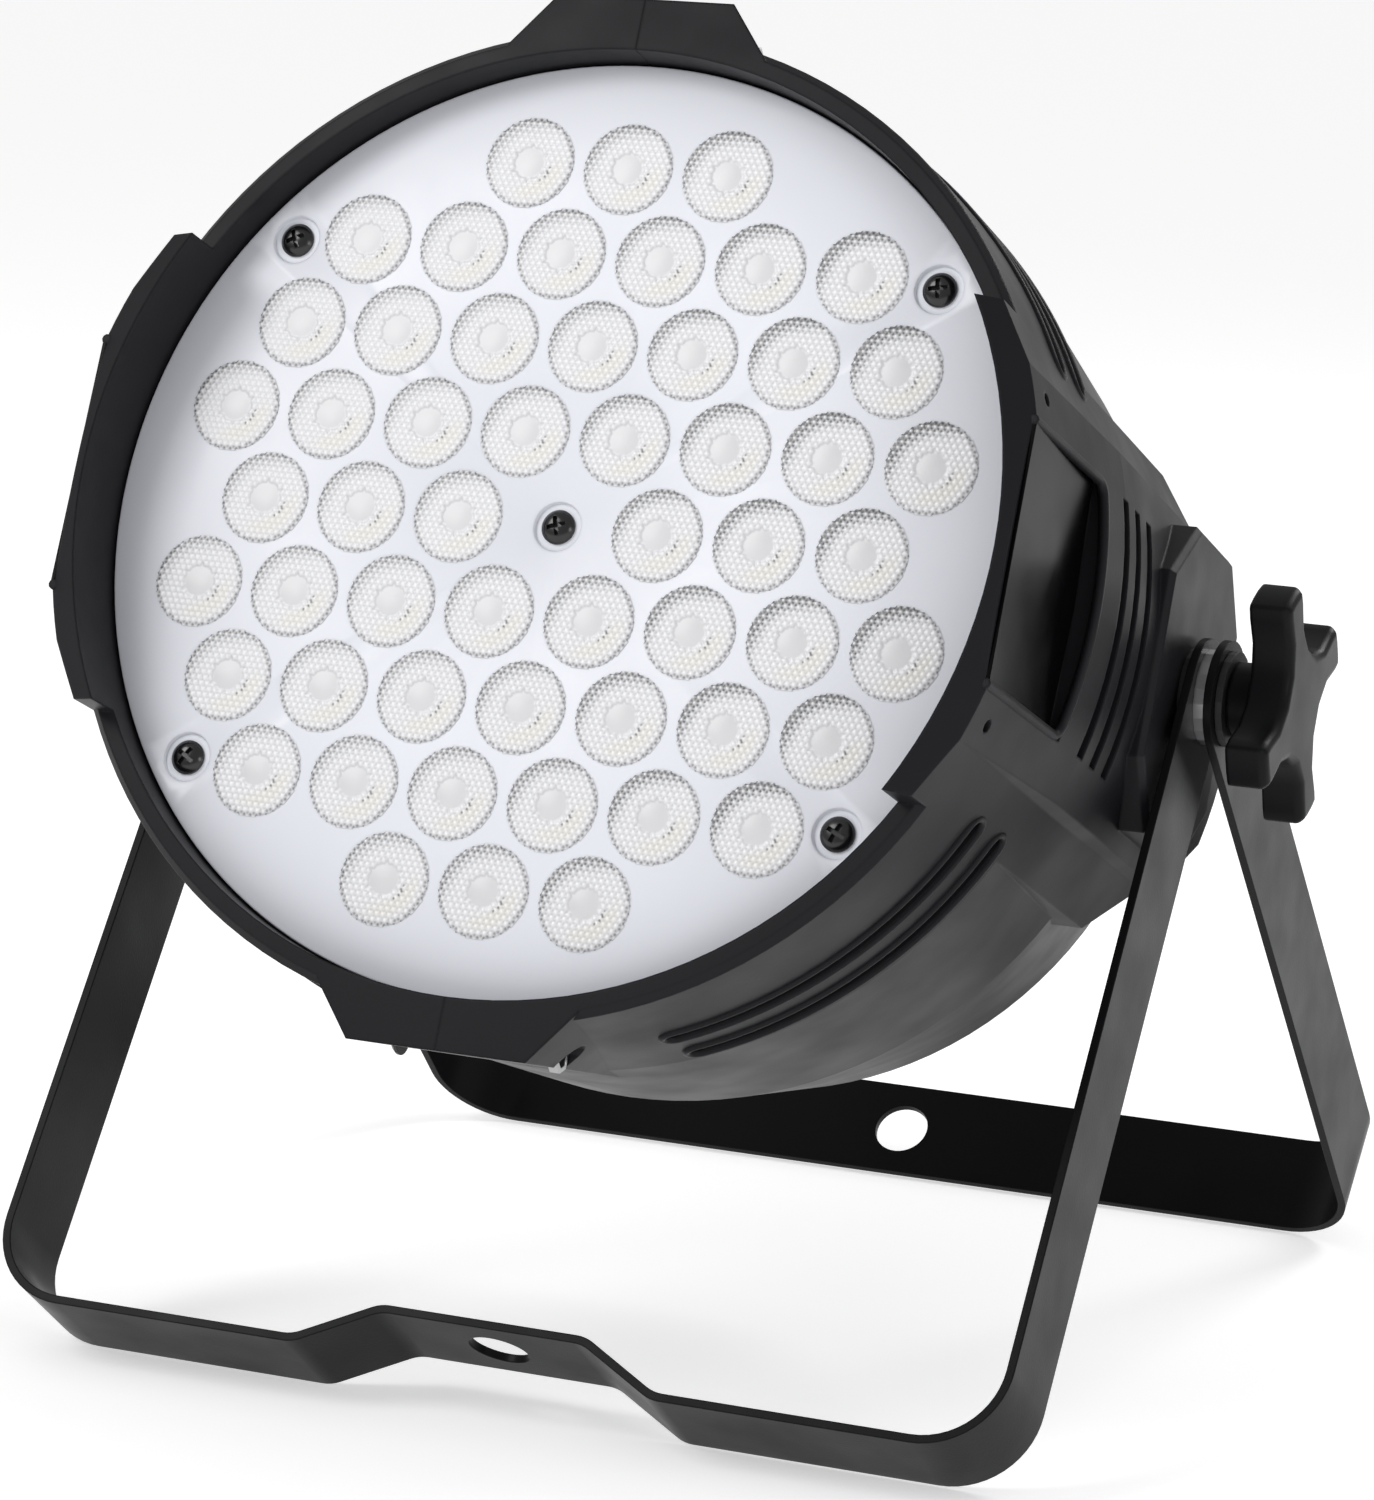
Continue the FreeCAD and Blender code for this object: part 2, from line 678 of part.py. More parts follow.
def add_ear(item):
    """The ear's block, turned to a flaring round face, with sloped ends and the raised pivot boss."""
    side = [("0 - ear_front", "0 - ear_root"), ("ear_back - ear_cut", "0 - ear_root"),
            ("ear_back", "0 - ear_root + ear_cut"), ("ear_back", "ear_root - ear_cut"),
            ("ear_back - ear_cut", "ear_root"), ("0 - ear_front", "ear_root")]
    pad(item, polygon(sketch(item, "YZ_Plane", "barrel_radius * 0.5"), side), "barrel_radius")
    doc.recompute()
    flare = [("plate_radius - 1", "0 - 2 * ear_front"), ("plate_radius - 1", "0 - ear_front"),
             ("ear_front_radius", "ear_bevel - ear_front"), ("ear_back_radius", "side_slot_start"),
             ("ear_back_radius", "2 * ear_back"), ("2 * barrel_radius", "2 * ear_back"),
             ("2 * barrel_radius", "0 - 2 * ear_front")]
    turned(item, "Groove", polygon(sketch(item, "XY_Plane"), flare))
    edge_x = "sqrt(ear_front_radius ^ 2 - ear_half_height ^ 2)"
    root_x = "sqrt(barrel_radius ^ 2 - ear_root ^ 2)"
    for up in (1, -1):
        slope = [(edge_x, "%d * ear_half_height" % up), (root_x, "%d * ear_root" % up),
                 (root_x + " - ear_root / 2", "%d * 3 / 2 * ear_root" % up),
                 (edge_x + " + ear_root / 2", "%d * 3 / 2 * ear_root" % up),
                 (edge_x + " + ear_root / 2", "%d * (ear_half_height - ear_slope)" % up)]
        pocket(item, polygon(sketch(item, "XZ_Plane"), slope), "4 * ear_back", Midplane=True)


def add_boss(item):
    """The flat raised boss that the bracket bears on, with cut corners."""
    high = "boss_half_height"
    shape = [("boss_front", "0 - %s + boss_cut" % high), ("boss_front + boss_cut", "0 - " + high),
             ("boss_back - boss_cut", "0 - " + high), ("boss_back", "0 - %s + boss_cut" % high),
             ("boss_back", high + " - boss_cut"), ("boss_back - boss_cut", high),
             ("boss_front + boss_cut", high), ("boss_front", high + " - boss_cut")]
    face = pad(item, polygon(sketch(item, "YZ_Plane", "barrel_radius * 0.8"), shape), "boss_face - barrel_radius * 0.8")
    top = value("boss_face")
    return bevelled(item, face, lambda edge, middle: abs(edge.BoundBox.XMin - top) < 0.01
                    and edge.BoundBox.XLength < 0.01, "boss_edge")


def add_grip(item, up):
    """Half of a front grip: a faceted wedge that runs back into the barrel."""
    root = "%d * (barrel_radius - grip_root_depth)" % up
    sunk = "%d * (barrel_radius - 2 * grip_root_depth)" % up
    front = [("0", sunk), ("grip_half_root", sunk), ("grip_half_root", root),
             ("grip_half_width", "%d * grip_height" % up), ("0", "%d * grip_height" % up)]
    low = "%d * (barrel_radius - 2 * grip_slope)" % up
    back = [("0", low), ("grip_half_root - grip_slope / 2", low),
            ("grip_half_root - grip_slope / 2", low + " + %d * grip_slope / 4" % up),
            ("grip_half_width - grip_slope", "%d * (barrel_radius - grip_slope)" % up),
            ("0", "%d * (barrel_radius - grip_slope)" % up)]
    near = polygon(sketch(item, "XZ_Plane", "lip_depth"), front)
    far = polygon(sketch(item, "XZ_Plane", "0 - grip_back"), back)
    wedge = feature(item, "AdditiveLoft", near, Sections=[far], Ruled=True)
    far.Visibility = False
    return wedge


def cut_vents(item):
    """Two vent slots round the barrel in each quadrant."""
    for up in (1, -1):
        slot = sketch(item, "XY_Plane", turn=-up * SIZES["vent_angle"])
        for row in range(VENT_ROWS):
            polygon(slot, box_corners("barrel_radius", "vent_first + %d * vent_pitch" % row, "6 * wall", "vent_width"))
        turned(item, "Groove", slot, angle="vent_span", Midplane=True)


def cut_side(item):
    """Everything cut into the ear from the side: badge seat, slots, pivot bore, nut pocket, small holes."""
    far = "2 * barrel_radius"
    seat = polygon(sketch(item, "YZ_Plane", far),
                   box_corners("badge_back / 2 - ear_front", "0", "badge_back + 2 * ear_front", "2 * badge_half_height"))
    pocket(item, seat, far + " - badge_floor")
    slots = sketch(item, "YZ_Plane", far)
    for row in range(SIDE_SLOTS):
        polygon(slots, box_corners("side_slot_start + %d * side_slot_pitch" % row, "0", "side_slot_width",
                                   "2 * side_slot_half"))
    pocket(item, slots, far + " - board_radius")
    holes = sketch(item, "YZ_Plane", far)
    for up in (1, -1):
        polygon(holes, regular("0 - pin_hole_front", "%d * pin_hole_rise" % up, "pin_hole_radius", BORE_SIDES))
    pocket(item, holes, far + " - ear_front_radius + pin_hole_depth")
    pocket(item, circle(sketch(item, "YZ_Plane", far), "pivot_setback", "0", "stud_radius + stud_clearance"),
           far + " - board_radius / 2")
    hexagon = polygon(sketch(item, "YZ_Plane", "board_radius / 2"),
                      regular("pivot_setback", "0", "nut_flats / 2 + running_gap", 6))
    pocket(item, hexagon, "boss_face - boss_skin - board_radius / 2", Reversed=True)


def housing():
    """The right half of the moulded housing, cut at the middle plane."""
    item = body("housing_right")
    add_ear(item)
    turned(item, "Revolution", barrel_outline(sketch(item, "XY_Plane")), angle="180", Midplane=True)
    doc.recompute()
    for up in (1, -1):
        add_grip(item, up)
    add_boss(item)
    turned(item, "Groove", cavity_outline(sketch(item, "XY_Plane")))
    doc.recompute()
    cut_vents(item)
    cut_side(item)
    holes = sketch(item, "YZ_Plane", "0 - 1")
    seats = sketch(item, "YZ_Plane", GRIP_SEAT)
    for up in (1, -1):
        at = ("grip_screw_setback", "%d * %s" % (up, GRIP_SCREW_Z))
        polygon(holes, regular(*at, "screw_radius + screw_hole_gap", BORE_SIDES))
        polygon(seats, regular(*at, "screw_head_radius + screw_hole_gap", HEAD_SIDES))
    pocket(item, holes, "2 * grip_half_root", Reversed=True)
    pocket(item, seats, "2 * grip_half_root", Reversed=True)
    pilots = sketch(item, "XZ_Plane", "2 * wall - panel_front")
    for x, z in PANEL_SCREW_PLACES:
        polygon(pilots, regular(x, z, "screw_radius + thread_clearance", BORE_SIDES))
    pocket(item, pilots, "2 * wall + 1")
    return item


# ---------------------------------------------------------------- lamp

def lens_places():
    """Lens centres as formulas: staggered rows on a triangular lattice, with the middle place left for a screw."""
    middle = len(LENS_ROWS) // 2
    places = []
    for row, count in enumerate(LENS_ROWS):
        rise = "%d * lens_pitch * sqrt(3) / 2" % (row - middle)
        steps = [k - (count - 1) / 2 for k in range(count)]
        if row == middle:
            steps = [step + math.copysign(0.5, step) for step in steps]
        places += [("%g * lens_pitch" % step, rise) for step in steps]
    return places


def pierced(item, face, depth, outlines):
    """Cut openings through a flat piece from its front face, each a closed outline of its own."""
    for corners in outlines:
        pocket(item, polygon(sketch(item, "XZ_Plane", "1 - (%s)" % face), corners), "%s + 2" % depth)
    return item


def screw_hole(place):
    """The outline of a clearance hole for a small screw."""
    return regular(*place, "screw_radius + screw_hole_gap", BORE_SIDES)


def prism(name, at, facing, sides, apothem, height):
    """A straight many-sided piece, sized by the distance from its axis to its flats."""
    return primitive("Prism", name, at, facing, sides, Circumradius="(%s) / cos(%g)" % (apothem, 180 / sides),
                     Height=height)


def lens_plate():
    """One clear moulding: a round plate with a shallow lens over each emitter and a well at each screw."""
    plate = primitive("Cylinder", "Plate", facing=Y, Radius="plate_radius", Height="plate_thickness")
    lenses = [prism("Lens", (x, "0 - lens_rise", z), Y, LENS_SIDES, "lens_radius", "lens_rise + plate_thickness / 2")
              for x, z in lens_places()]
    wells = []
    for x, z in PLATE_SCREW_PLACES:
        wells.append(prism("Well", (x, "0 - 1", z), Y, HEAD_SIDES, "screw_well_radius", "screw_well_depth + 1"))
        wells.append(prism("Hole", (x, "0 - 1", z), Y, BORE_SIDES, "screw_radius + screw_hole_gap",
                           "plate_thickness + 2"))
    return cut("Lens_plate", joined("Plate_and_lenses", [plate] + lenses), joined("Wells", wells))


def screws(name, places, facing, shank):
    """Identical screws: each a head in front of its seat and a shank behind it."""
    pieces = []
    for place in places:
        seat = ["%s - %d * screw_head_height" % (spot, step) for spot, step in zip(place, facing)]
        head = prism("Head", seat, Vector(*facing), HEAD_SIDES, "screw_head_radius * cos(15)", "screw_head_height")
        stem = prism("Shank", place, Vector(*facing), SHANK_SIDES, "screw_radius * cos(30)", shank)
        pieces.append(joined("Screw", [head, stem]))
    return joined(name, pieces, "Part::Compound")


def spacers(name, places, front, length, radius):
    """Identical hexagonal spacers that stand along the lamp's axis, bored for their screws."""
    pieces = []
    for x, z in places:
        outside = prism("Spacer", (x, front, z), Y, 6, radius, length)
        inside = prism("Bore", (x, front, z), Y, 6, "screw_radius + screw_hole_gap", length)
        pieces.append(cut("Tube", outside, inside))
    return joined(name, pieces, "Part::Compound")


def block(name, middle, size):
    """A box about a centre, with all six figures as formulas."""
    corner = ["%s - (%s) / 2" % (spot, length) for spot, length in zip(middle, size)]
    return primitive("Box", name, corner, Length=size[0], Width=size[1], Height=size[2])


def round_board(name, front, radius, thickness):
    """A round board or plate behind the lens plate, with the plate screws' holes through it."""
    item = body(name)
    face = polygon(sketch(item, "XZ_Plane", "0 - " + front), regular("0", "0", radius, BOARD_SIDES))
    pad(item, face, thickness, Reversed=True)
    doc.recompute()
    return pierced(item, front, thickness, [screw_hole(place) for place in PLATE_SCREW_PLACES])


def heat_sink():
    """A round aluminium plate with a row of straight upright fins."""
    item = round_board("heat_sink", BOARD_BACK, "sink_radius", "sink_base")
    doc.recompute()
    first = polygon(sketch(item, "XZ_Plane", "0 - %s - sink_base" % BOARD_BACK),
                    box_corners("0 - %g * fin_pitch" % (FINS / 2 - 0.5), "0", "fin_thickness", "fin_height"))
    fin = pad(item, first, "sink_depth - sink_base", Reversed=True)
    patterned(item, "LinearPattern", fin, "X_Axis", "%d * fin_pitch" % (FINS - 1), FINS)
    return item


def build_lamp():
    """The lens plate, the board of emitters and the heat sink, stacked and clamped by five screws."""
    node(lens_plate(), "lens_plate", on_head)
    seats = [(x, "screw_well_depth", z) for x, z in PLATE_SCREW_PLACES]
    node(screws("Plate_screws", seats, (0, 1, 0), BOARD_BACK + " + sink_base - screw_well_depth"),
         "plate_screws", on_head)
    node(spacers("Standoffs", PLATE_SCREW_PLACES, "plate_thickness", "board_front - plate_thickness",
                 "2 * screw_radius"), "plate_standoffs", on_head)
    node(round_board("led_board", "board_front", "board_radius", "board_thickness"), "led_board", on_head)
    chips = [block("Chip", (x, "board_front - emitter_height / 2", z), ("emitter_size", "emitter_height",
             "emitter_size")) for x, z in lens_places()]
    node(joined("Emitters", chips, "Part::Compound"), "led_emitters", on_head)
    node(heat_sink(), "heat_sink", on_head)


# ---------------------------------------------------------------- power and control

PSU_FRONT = "(%s + sink_depth + power_board_gap)" % BOARD_BACK
CONTROL_BACK = "(panel_front - control_board_gap)"
BUTTONS = ("menu", "down", "up", "enter")


def four(x, z, middle="0"):
    """Four places at the corners of a rectangle about the middle line."""
    return [("%d * %s" % (side, x), "%s + %d * %s" % (middle, up, z)) for side in (1, -1) for up in (1, -1)]


def button_x(number):
    """How far across a button stands, by its number in the row."""
    return "%g * button_pitch" % (number - (len(BUTTONS) - 1) / 2)


def fan_frame():
    """The fan's square frame with a round duct, and a motor seat and pin on four arms."""
    item = body("fan_frame")
    front = "0 - (panel_front - fan_depth)"
    face = polygon(sketch(item, "XZ_Plane", front), box_corners("0", "0", "fan_width", "fan_width"))
    polygon(face, regular("0", "0", "fan_bore", DUCT_SIDES))
    for x, z in FAN_SCREWS:
        polygon(face, regular(x, z, "screw_radius + screw_hole_gap", BORE_SIDES))
    pad(item, face, "fan_depth", Reversed=True)
    doc.recompute()
    for size in (("2 * fan_bore + 2", "fan_arm_width"), ("fan_arm_width", "2 * fan_bore + 2")):
        pad(item, polygon(sketch(item, "XZ_Plane", front), box_corners("0", "0", *size)), "fan_arm_depth",
            Reversed=True)
    seat = polygon(sketch(item, "XZ_Plane", front), regular("0", "0", "fan_hub", HEAD_SIDES))
    pad(item, seat, "fan_seat_depth", Reversed=True)
    pad(item, circle(sketch(item, "XZ_Plane", front), "0", "0", "fan_pin_radius"), "fan_depth - 2 * fan_seat_depth",
        Reversed=True)
    return item


def fan_rotor():
    """A hub with flat pitched blades, bored to run on the frame's pin."""
    item = body("fan_rotor")
    start = "(panel_front - fan_depth + fan_seat_depth + fan_arm_depth / 4)"
    length = "fan_depth - 2 * fan_seat_depth - fan_arm_depth / 4"
    hub = polygon(sketch(item, "XZ_Plane", "0 - " + start), regular("0", "0", "fan_hub", DUCT_SIDES))
    pad(item, hub, length, Reversed=True)
    doc.recompute()
    middle = start + " + (%s) / 2" % length
    corners = []
    for run, side in ((-1, -1), (1, -1), (1, 1), (-1, 1)):
        back = "%s + %d * blade_chord / 2 * cos(blade_pitch) - %d * blade_thickness / 2 * sin(blade_pitch)"
        up = "%d * blade_chord / 2 * sin(blade_pitch) + %d * blade_thickness / 2 * cos(blade_pitch)"
        corners.append((back % (middle, run, side), up % (run, side)))
    section = polygon(sketch(item, "YZ_Plane", "fan_hub / 2"), corners)
    blade = pad(item, section, "sqrt((fan_bore - fan_tip_gap) ^ 2 - (blade_chord / 2) ^ 2) - fan_hub / 2")
    patterned(item, "PolarPattern", blade, "Y_Axis", 360, FAN_BLADES)
    doc.recompute()
    bore = circle(sketch(item, "XZ_Plane", "1 - " + start), "0", "0", "fan_pin_radius + thread_clearance")
    pocket(item, bore, "fan_depth - 3 * fan_seat_depth + 1")
    return item


def rear_panel():
    """The sheet-metal rear panel with every opening that its fittings need."""
    item = body("rear_panel")
    rim = circle(sketch(item, "XZ_Plane", "0 - panel_front"), "0", "0", "panel_radius")
    pad(item, rim, "panel_thickness", Reversed=True)
    doc.recompute()
    openings = [box_corners("0", "display_z", "display_width", "display_height"),
                regular("fuse_x", "fuse_z", "fuse_radius + trim_gap / 2", HEAD_SIDES)]
    for side in (1, -1):
        openings.append(box_corners("%d * iec_x" % side, "iec_z", "iec_width + trim_gap", "iec_height + trim_gap"))
        openings.append(regular("%d * xlr_x" % side, "xlr_z", "xlr_shell + trim_gap / 2", DUCT_SIDES))
    for number in range(len(BUTTONS)):
        openings.append(regular(button_x(number), "button_z", "button_radius + button_gap", HEAD_SIDES))
    openings += [screw_hole(place) for place in PANEL_SCREW_PLACES + FAN_SCREWS]
    pierced(item, "panel_front", "panel_thickness", openings)
    slot = polygon(sketch(item, "XZ_Plane", "1 - panel_front"),
                   box_corners("(grille_inner + grille_outer) / 2", "0", "grille_outer - grille_inner", "grille_slot"))
    patterned(item, "PolarPattern", pocket(item, slot, "panel_thickness + 2"), "Y_Axis", 360, GRILLE_SLOTS)
    return item


def socket_body(name, place, flange, shell, depth):
    """A chassis connector's flange on the panel's back and the shell that goes through it."""
    item = body(name)
    face = polygon(sketch(item, "XZ_Plane", "0 - " + PANEL_BACK), box_corners(*place, *flange))
    plate = pad(item, face, "flange_thickness", Reversed=True)
    bevelled(item, plate, lambda edge, middle: along(edge, Y), "flange_corner")
    doc.recompute()
    inner = shell(sketch(item, "XZ_Plane", "0 - %s - flange_thickness / 2" % PANEL_BACK))
    pad(item, inner, depth + " + flange_thickness / 2")
    doc.recompute()
    return item


def xlr(name, side, male):
    """A three-pin signal connector: pins in an open shell, or a face with three holes."""
    x = "%d * xlr_x" % side
    item = socket_body(name, (x, "xlr_z"), ("xlr_flange_width", "xlr_flange_height"),
                       lambda face: polygon(face, regular(x, "xlr_z", "xlr_shell", DUCT_SIDES)), "xlr_depth")
    spots = [("%s + xlr_pin_circle * cos(%d)" % (x, turn), "xlr_z + xlr_pin_circle * sin(%d)" % turn)
             for turn in (150, 30, 270)]
    mouth = "0 - %s - flange_thickness - 1" % PANEL_BACK
    if male:
        well = polygon(sketch(item, "XZ_Plane", mouth), regular(x, "xlr_z", "xlr_shell - xlr_wall", DUCT_SIDES))
        pocket(item, well, "xlr_pin_length + flange_thickness + 1", Reversed=True)
        doc.recompute()
    pins = sketch(item, "XZ_Plane", "0 - %s + xlr_pin_length + 1" % PANEL_BACK if male else mouth)
    for spot in spots:
        polygon(pins, regular(*spot, "xlr_pin_radius" if male else "xlr_pin_radius + trim_gap / 2", BORE_SIDES))
    if male:
        pad(item, pins, "xlr_pin_length", Reversed=True)
    else:
        pocket(item, pins, "xlr_pin_length", Reversed=True)
    return item


def iec(name, side, inlet):
    """A three-pole mains appliance connector: an inlet with blades, or an outlet with slots."""
    x = "%d * iec_x" % side
    item = socket_body(name, (x, "iec_z"), ("iec_flange_width", "iec_flange_height"),
                       lambda face: polygon(face, box_corners(x, "iec_z", "iec_width", "iec_height")), "iec_depth")
    mouth = "0 - %s - flange_thickness - 1" % PANEL_BACK
    if inlet:
        well = polygon(sketch(item, "XZ_Plane", mouth),
                       box_corners(x, "iec_z", "iec_width - 2 * iec_wall", "iec_height - 2 * iec_wall"))
        pocket(item, well, "iec_blade_length + flange_thickness + 1", Reversed=True)
        doc.recompute()
    blades = sketch(item, "XZ_Plane", "0 - %s + iec_blade_length + 1" % PANEL_BACK if inlet else mouth)
    room = "0" if inlet else "trim_gap"
    for across, up in ((-1, -1), (0, 1), (1, -1)):
        polygon(blades, box_corners("%s + %d * iec_blade_pitch" % (x, across), "iec_z + %d * iec_blade_width" % up,
                                    "iec_blade_width + " + room, "2 * iec_blade_width + " + room))
    if inlet:
        pad(item, blades, "iec_blade_length", Reversed=True)
    else:
        pocket(item, blades, "iec_blade_length", Reversed=True)
    return item


def push_button(name, number):
    """A round cap that stands out of the panel, with a collar behind it that keeps it in."""
    item = body(name)
    place = (button_x(number), "button_z")
    cap = polygon(sketch(item, "XZ_Plane", "0 - %s - button_rise" % PANEL_BACK),
                  regular(*place, "button_radius", HEAD_SIDES))
    pad(item, cap, "button_rise + %s - %s - switch_height - button_travel - running_gap" % (PANEL_BACK, CONTROL_BACK))
    collar = polygon(sketch(item, "XZ_Plane", "0 - panel_front + running_gap"),
                     regular(*place, "button_radius + button_collar", HEAD_SIDES))
    pad(item, collar, "button_collar")
    return item


def power_supply():
    """The power supply's board with its transformer, heat block and capacitors."""
    face = PSU_FRONT + " + circuit_thickness"
    pieces = [block("Power_plate", ("0", PSU_FRONT + " + circuit_thickness / 2", "0"),
                    ("power_board_width", "circuit_thickness", "power_board_height"))]
    for x, z, across, deep, tall in ((-38, 16, 32, 26, 30), (20, 18, 24, 14, 22), (44, -14, 20, 18, 36)):
        pieces.append(block("Component", (str(x), face + " + %g" % (deep / 2), str(z)),
                            (str(across), str(deep), str(tall))))
    for step in (-1, 0, 1):
        pieces.append(prism("Capacitor", ("(%d * 8 / 3 - 2) * capacitor_radius" % step, face,
                                          "0 - power_board_height / 4"),
                            Y, HEAD_SIDES, "capacitor_radius", "capacitor_length"))
    return joined("Power_supply", pieces)


def fuse_holder():
    """A round screw cap with a driver slot, on a barrel that goes through the panel."""
    cap = prism("Fuse_cap", ("fuse_x", PANEL_BACK, "fuse_z"), Y, DUCT_SIDES, "fuse_radius + fuse_lip",
                "fuse_cap_length")
    barrel = prism("Fuse_barrel", ("fuse_x", PANEL_BACK + " - fuse_depth", "fuse_z"), Y, HEAD_SIDES,
                   "fuse_radius", "fuse_depth + fuse_lip")
    slot = block("Fuse_slot", ("fuse_x", PANEL_BACK + " + fuse_cap_length", "fuse_z"),
                 ("fuse_lip", "2 * fuse_lip", "2 * fuse_radius"))
    return cut("Fuse", joined("Fuse_body", [cap, barrel]), slot)


def build_power_and_control():
    """The rear panel with everything on it, and the two boards inside."""
    node(rear_panel(), "rear_panel", on_head)
    node(screws("Panel_screws", [(x, PANEL_BACK, z) for x, z in PANEL_SCREW_PLACES], (0, -1, 0),
                "panel_thickness + wall"), "panel_screws", on_head)
    node(fan_frame(), "fan_frame", on_head)
    node(fan_rotor(), "fan_rotor", on_head)
    node(screws("Fan_screws", [(x, PANEL_BACK, z) for x, z in FAN_SCREWS], (0, -1, 0),
                "panel_thickness + fan_depth / 2"), "fan_screws", on_head)

    node(power_supply(), "psu_board", on_head)
    pillars = four("9 / 2 * fin_pitch", "power_pillar_rise")
    node(spacers("Power_pillars", pillars, BOARD_BACK + " + sink_base",
                 "%s - %s - sink_base" % (PSU_FRONT, BOARD_BACK), "2 * screw_radius"), "psu_standoffs", on_head)

    middle_z = "(display_z + button_z) / 2"
    plate = block("Control_plate", ("0", CONTROL_BACK + " - circuit_thickness / 2", middle_z),
                  ("control_board_width", "circuit_thickness", "control_board_height"))
    switches = [block("Switch", (button_x(number), CONTROL_BACK + " + switch_height / 2", "button_z"),
                      ("3 / 2 * switch_height", "switch_height", "3 / 2 * switch_height"))
                for number in range(len(BUTTONS))]
    node(joined("Control", [plate] + switches), "control_board", on_head)
    posts = four("control_post_x", "control_post_rise", middle_z)
    node(spacers("Control_posts", posts, CONTROL_BACK, "panel_front - " + CONTROL_BACK, "2 * screw_radius"),
         "control_standoffs", on_head)
    depth = "%s + display_rise - %s" % (PANEL_BACK, CONTROL_BACK)
    window = block("Window", ("0", "%s + (%s) / 2" % (CONTROL_BACK, depth), "display_z"),
                   ("display_width - trim_gap", depth, "display_height - trim_gap"))
    node(joined("Display", [window], "Part::Compound"), "display", on_head)
    for number, word in enumerate(BUTTONS):
        node(push_button("Button_" + word, number), "button_" + word, on_head)

    node(xlr("Dmx_in", 1, True), "dmx_in", on_head)
    node(xlr("Dmx_out", -1, False), "dmx_out", on_head)
    node(iec("Power_inlet", 1, True), "power_inlet", on_head)
    node(iec("Power_outlet", -1, False), "power_outlet", on_head)
    node(fuse_holder(), "fuse_holder", on_head)


# ---------------------------------------------------------------- trim and fasteners of the housing

def badge():
    """A blank gloss panel that sits in the ear's side recess, with a slightly bowed rear end."""
    item = body("badge_right")
    high = "(badge_half_height - trim_gap)"
    shape = [("0 - badge_front", "0 - " + high), ("badge_back - trim_gap - badge_bow", "0 - " + high),
             ("badge_back - trim_gap", "0"), ("badge_back - trim_gap - badge_bow", high), ("0 - badge_front", high)]
    pad(item, polygon(sketch(item, "YZ_Plane", "badge_floor"), shape), "badge_thickness")
    return item


def build_trim():
    """The badges, and the screws and nuts that hold the housing's halves together at the grips."""
    mirrored(node(badge(), "badge_right", on_head), "badge_left")
    heights = ["%d * %s" % (up, GRIP_SCREW_Z) for up in (1, -1)]
    node(screws("Seam_screws", [("0 - " + GRIP_SEAT, "grip_screw_setback", height) for height in heights], (1, 0, 0),
                "2 * %s + seam_nut_depth" % GRIP_SEAT), "seam_screws", on_head)
    nuts = []
    for height in heights:
        at = (GRIP_SEAT, "grip_screw_setback", height)
        shape = prism("Nut", at, X, 6, "(screw_head_radius - running_gap) * cos(30)", "seam_nut_depth")
        bore = prism("Nut_bore", at, X, SHANK_SIDES, "screw_radius + thread_clearance", "seam_nut_depth")
        nuts.append(cut("Seam_nut", shape, bore))
    node(joined("Seam_nuts", nuts, "Part::Compound"), "seam_nuts", on_head)


# ---------------------------------------------------------------- assembly

def check_document():
    """Stop if any object failed, or a sub-part's shape is missing, invalid or has no solid."""
    failed = [item.Name for item in doc.Objects if {"Invalid", "Error"} & set(item.State)]
    if failed:
        raise SystemExit("failed objects: " + ", ".join(failed))
    for item in NODES:
        if item.Shape.isNull() or not item.Shape.isValid() or not item.Shape.Solids:
            raise SystemExit("no valid solid: " + item.Label)


def export_nodes():
    """Write each sub-part to a file of its own name and print what it holds."""
    os.makedirs("parts", exist_ok=True)
    for item in NODES:
        item.Shape.exportStep("parts/%s.step" % item.Label)
        print("%-20s solids %3d  volume %10.0f" % (item.Label, len(item.Shape.Solids), item.Shape.Volume))


write_sizes()
build_brackets()
build_pivots()
mirrored(node(housing(), "housing_right", on_head), "housing_left")
build_trim()
build_lamp()
build_power_and_control()
doc.recompute()
check_document()
export_nodes()
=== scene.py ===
"""Looks of an LED par can light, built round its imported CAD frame.

Metres throughout. Head pieces are drawn in the head's own axes, in millimetres: x to the right, y back
along the lamp's axis and z up, from the middle of the lens plate's face. HEAD carries them to the frame.
"""

import json
import math

import bmesh
import bpy
from mathutils import Euler, Matrix, Vector

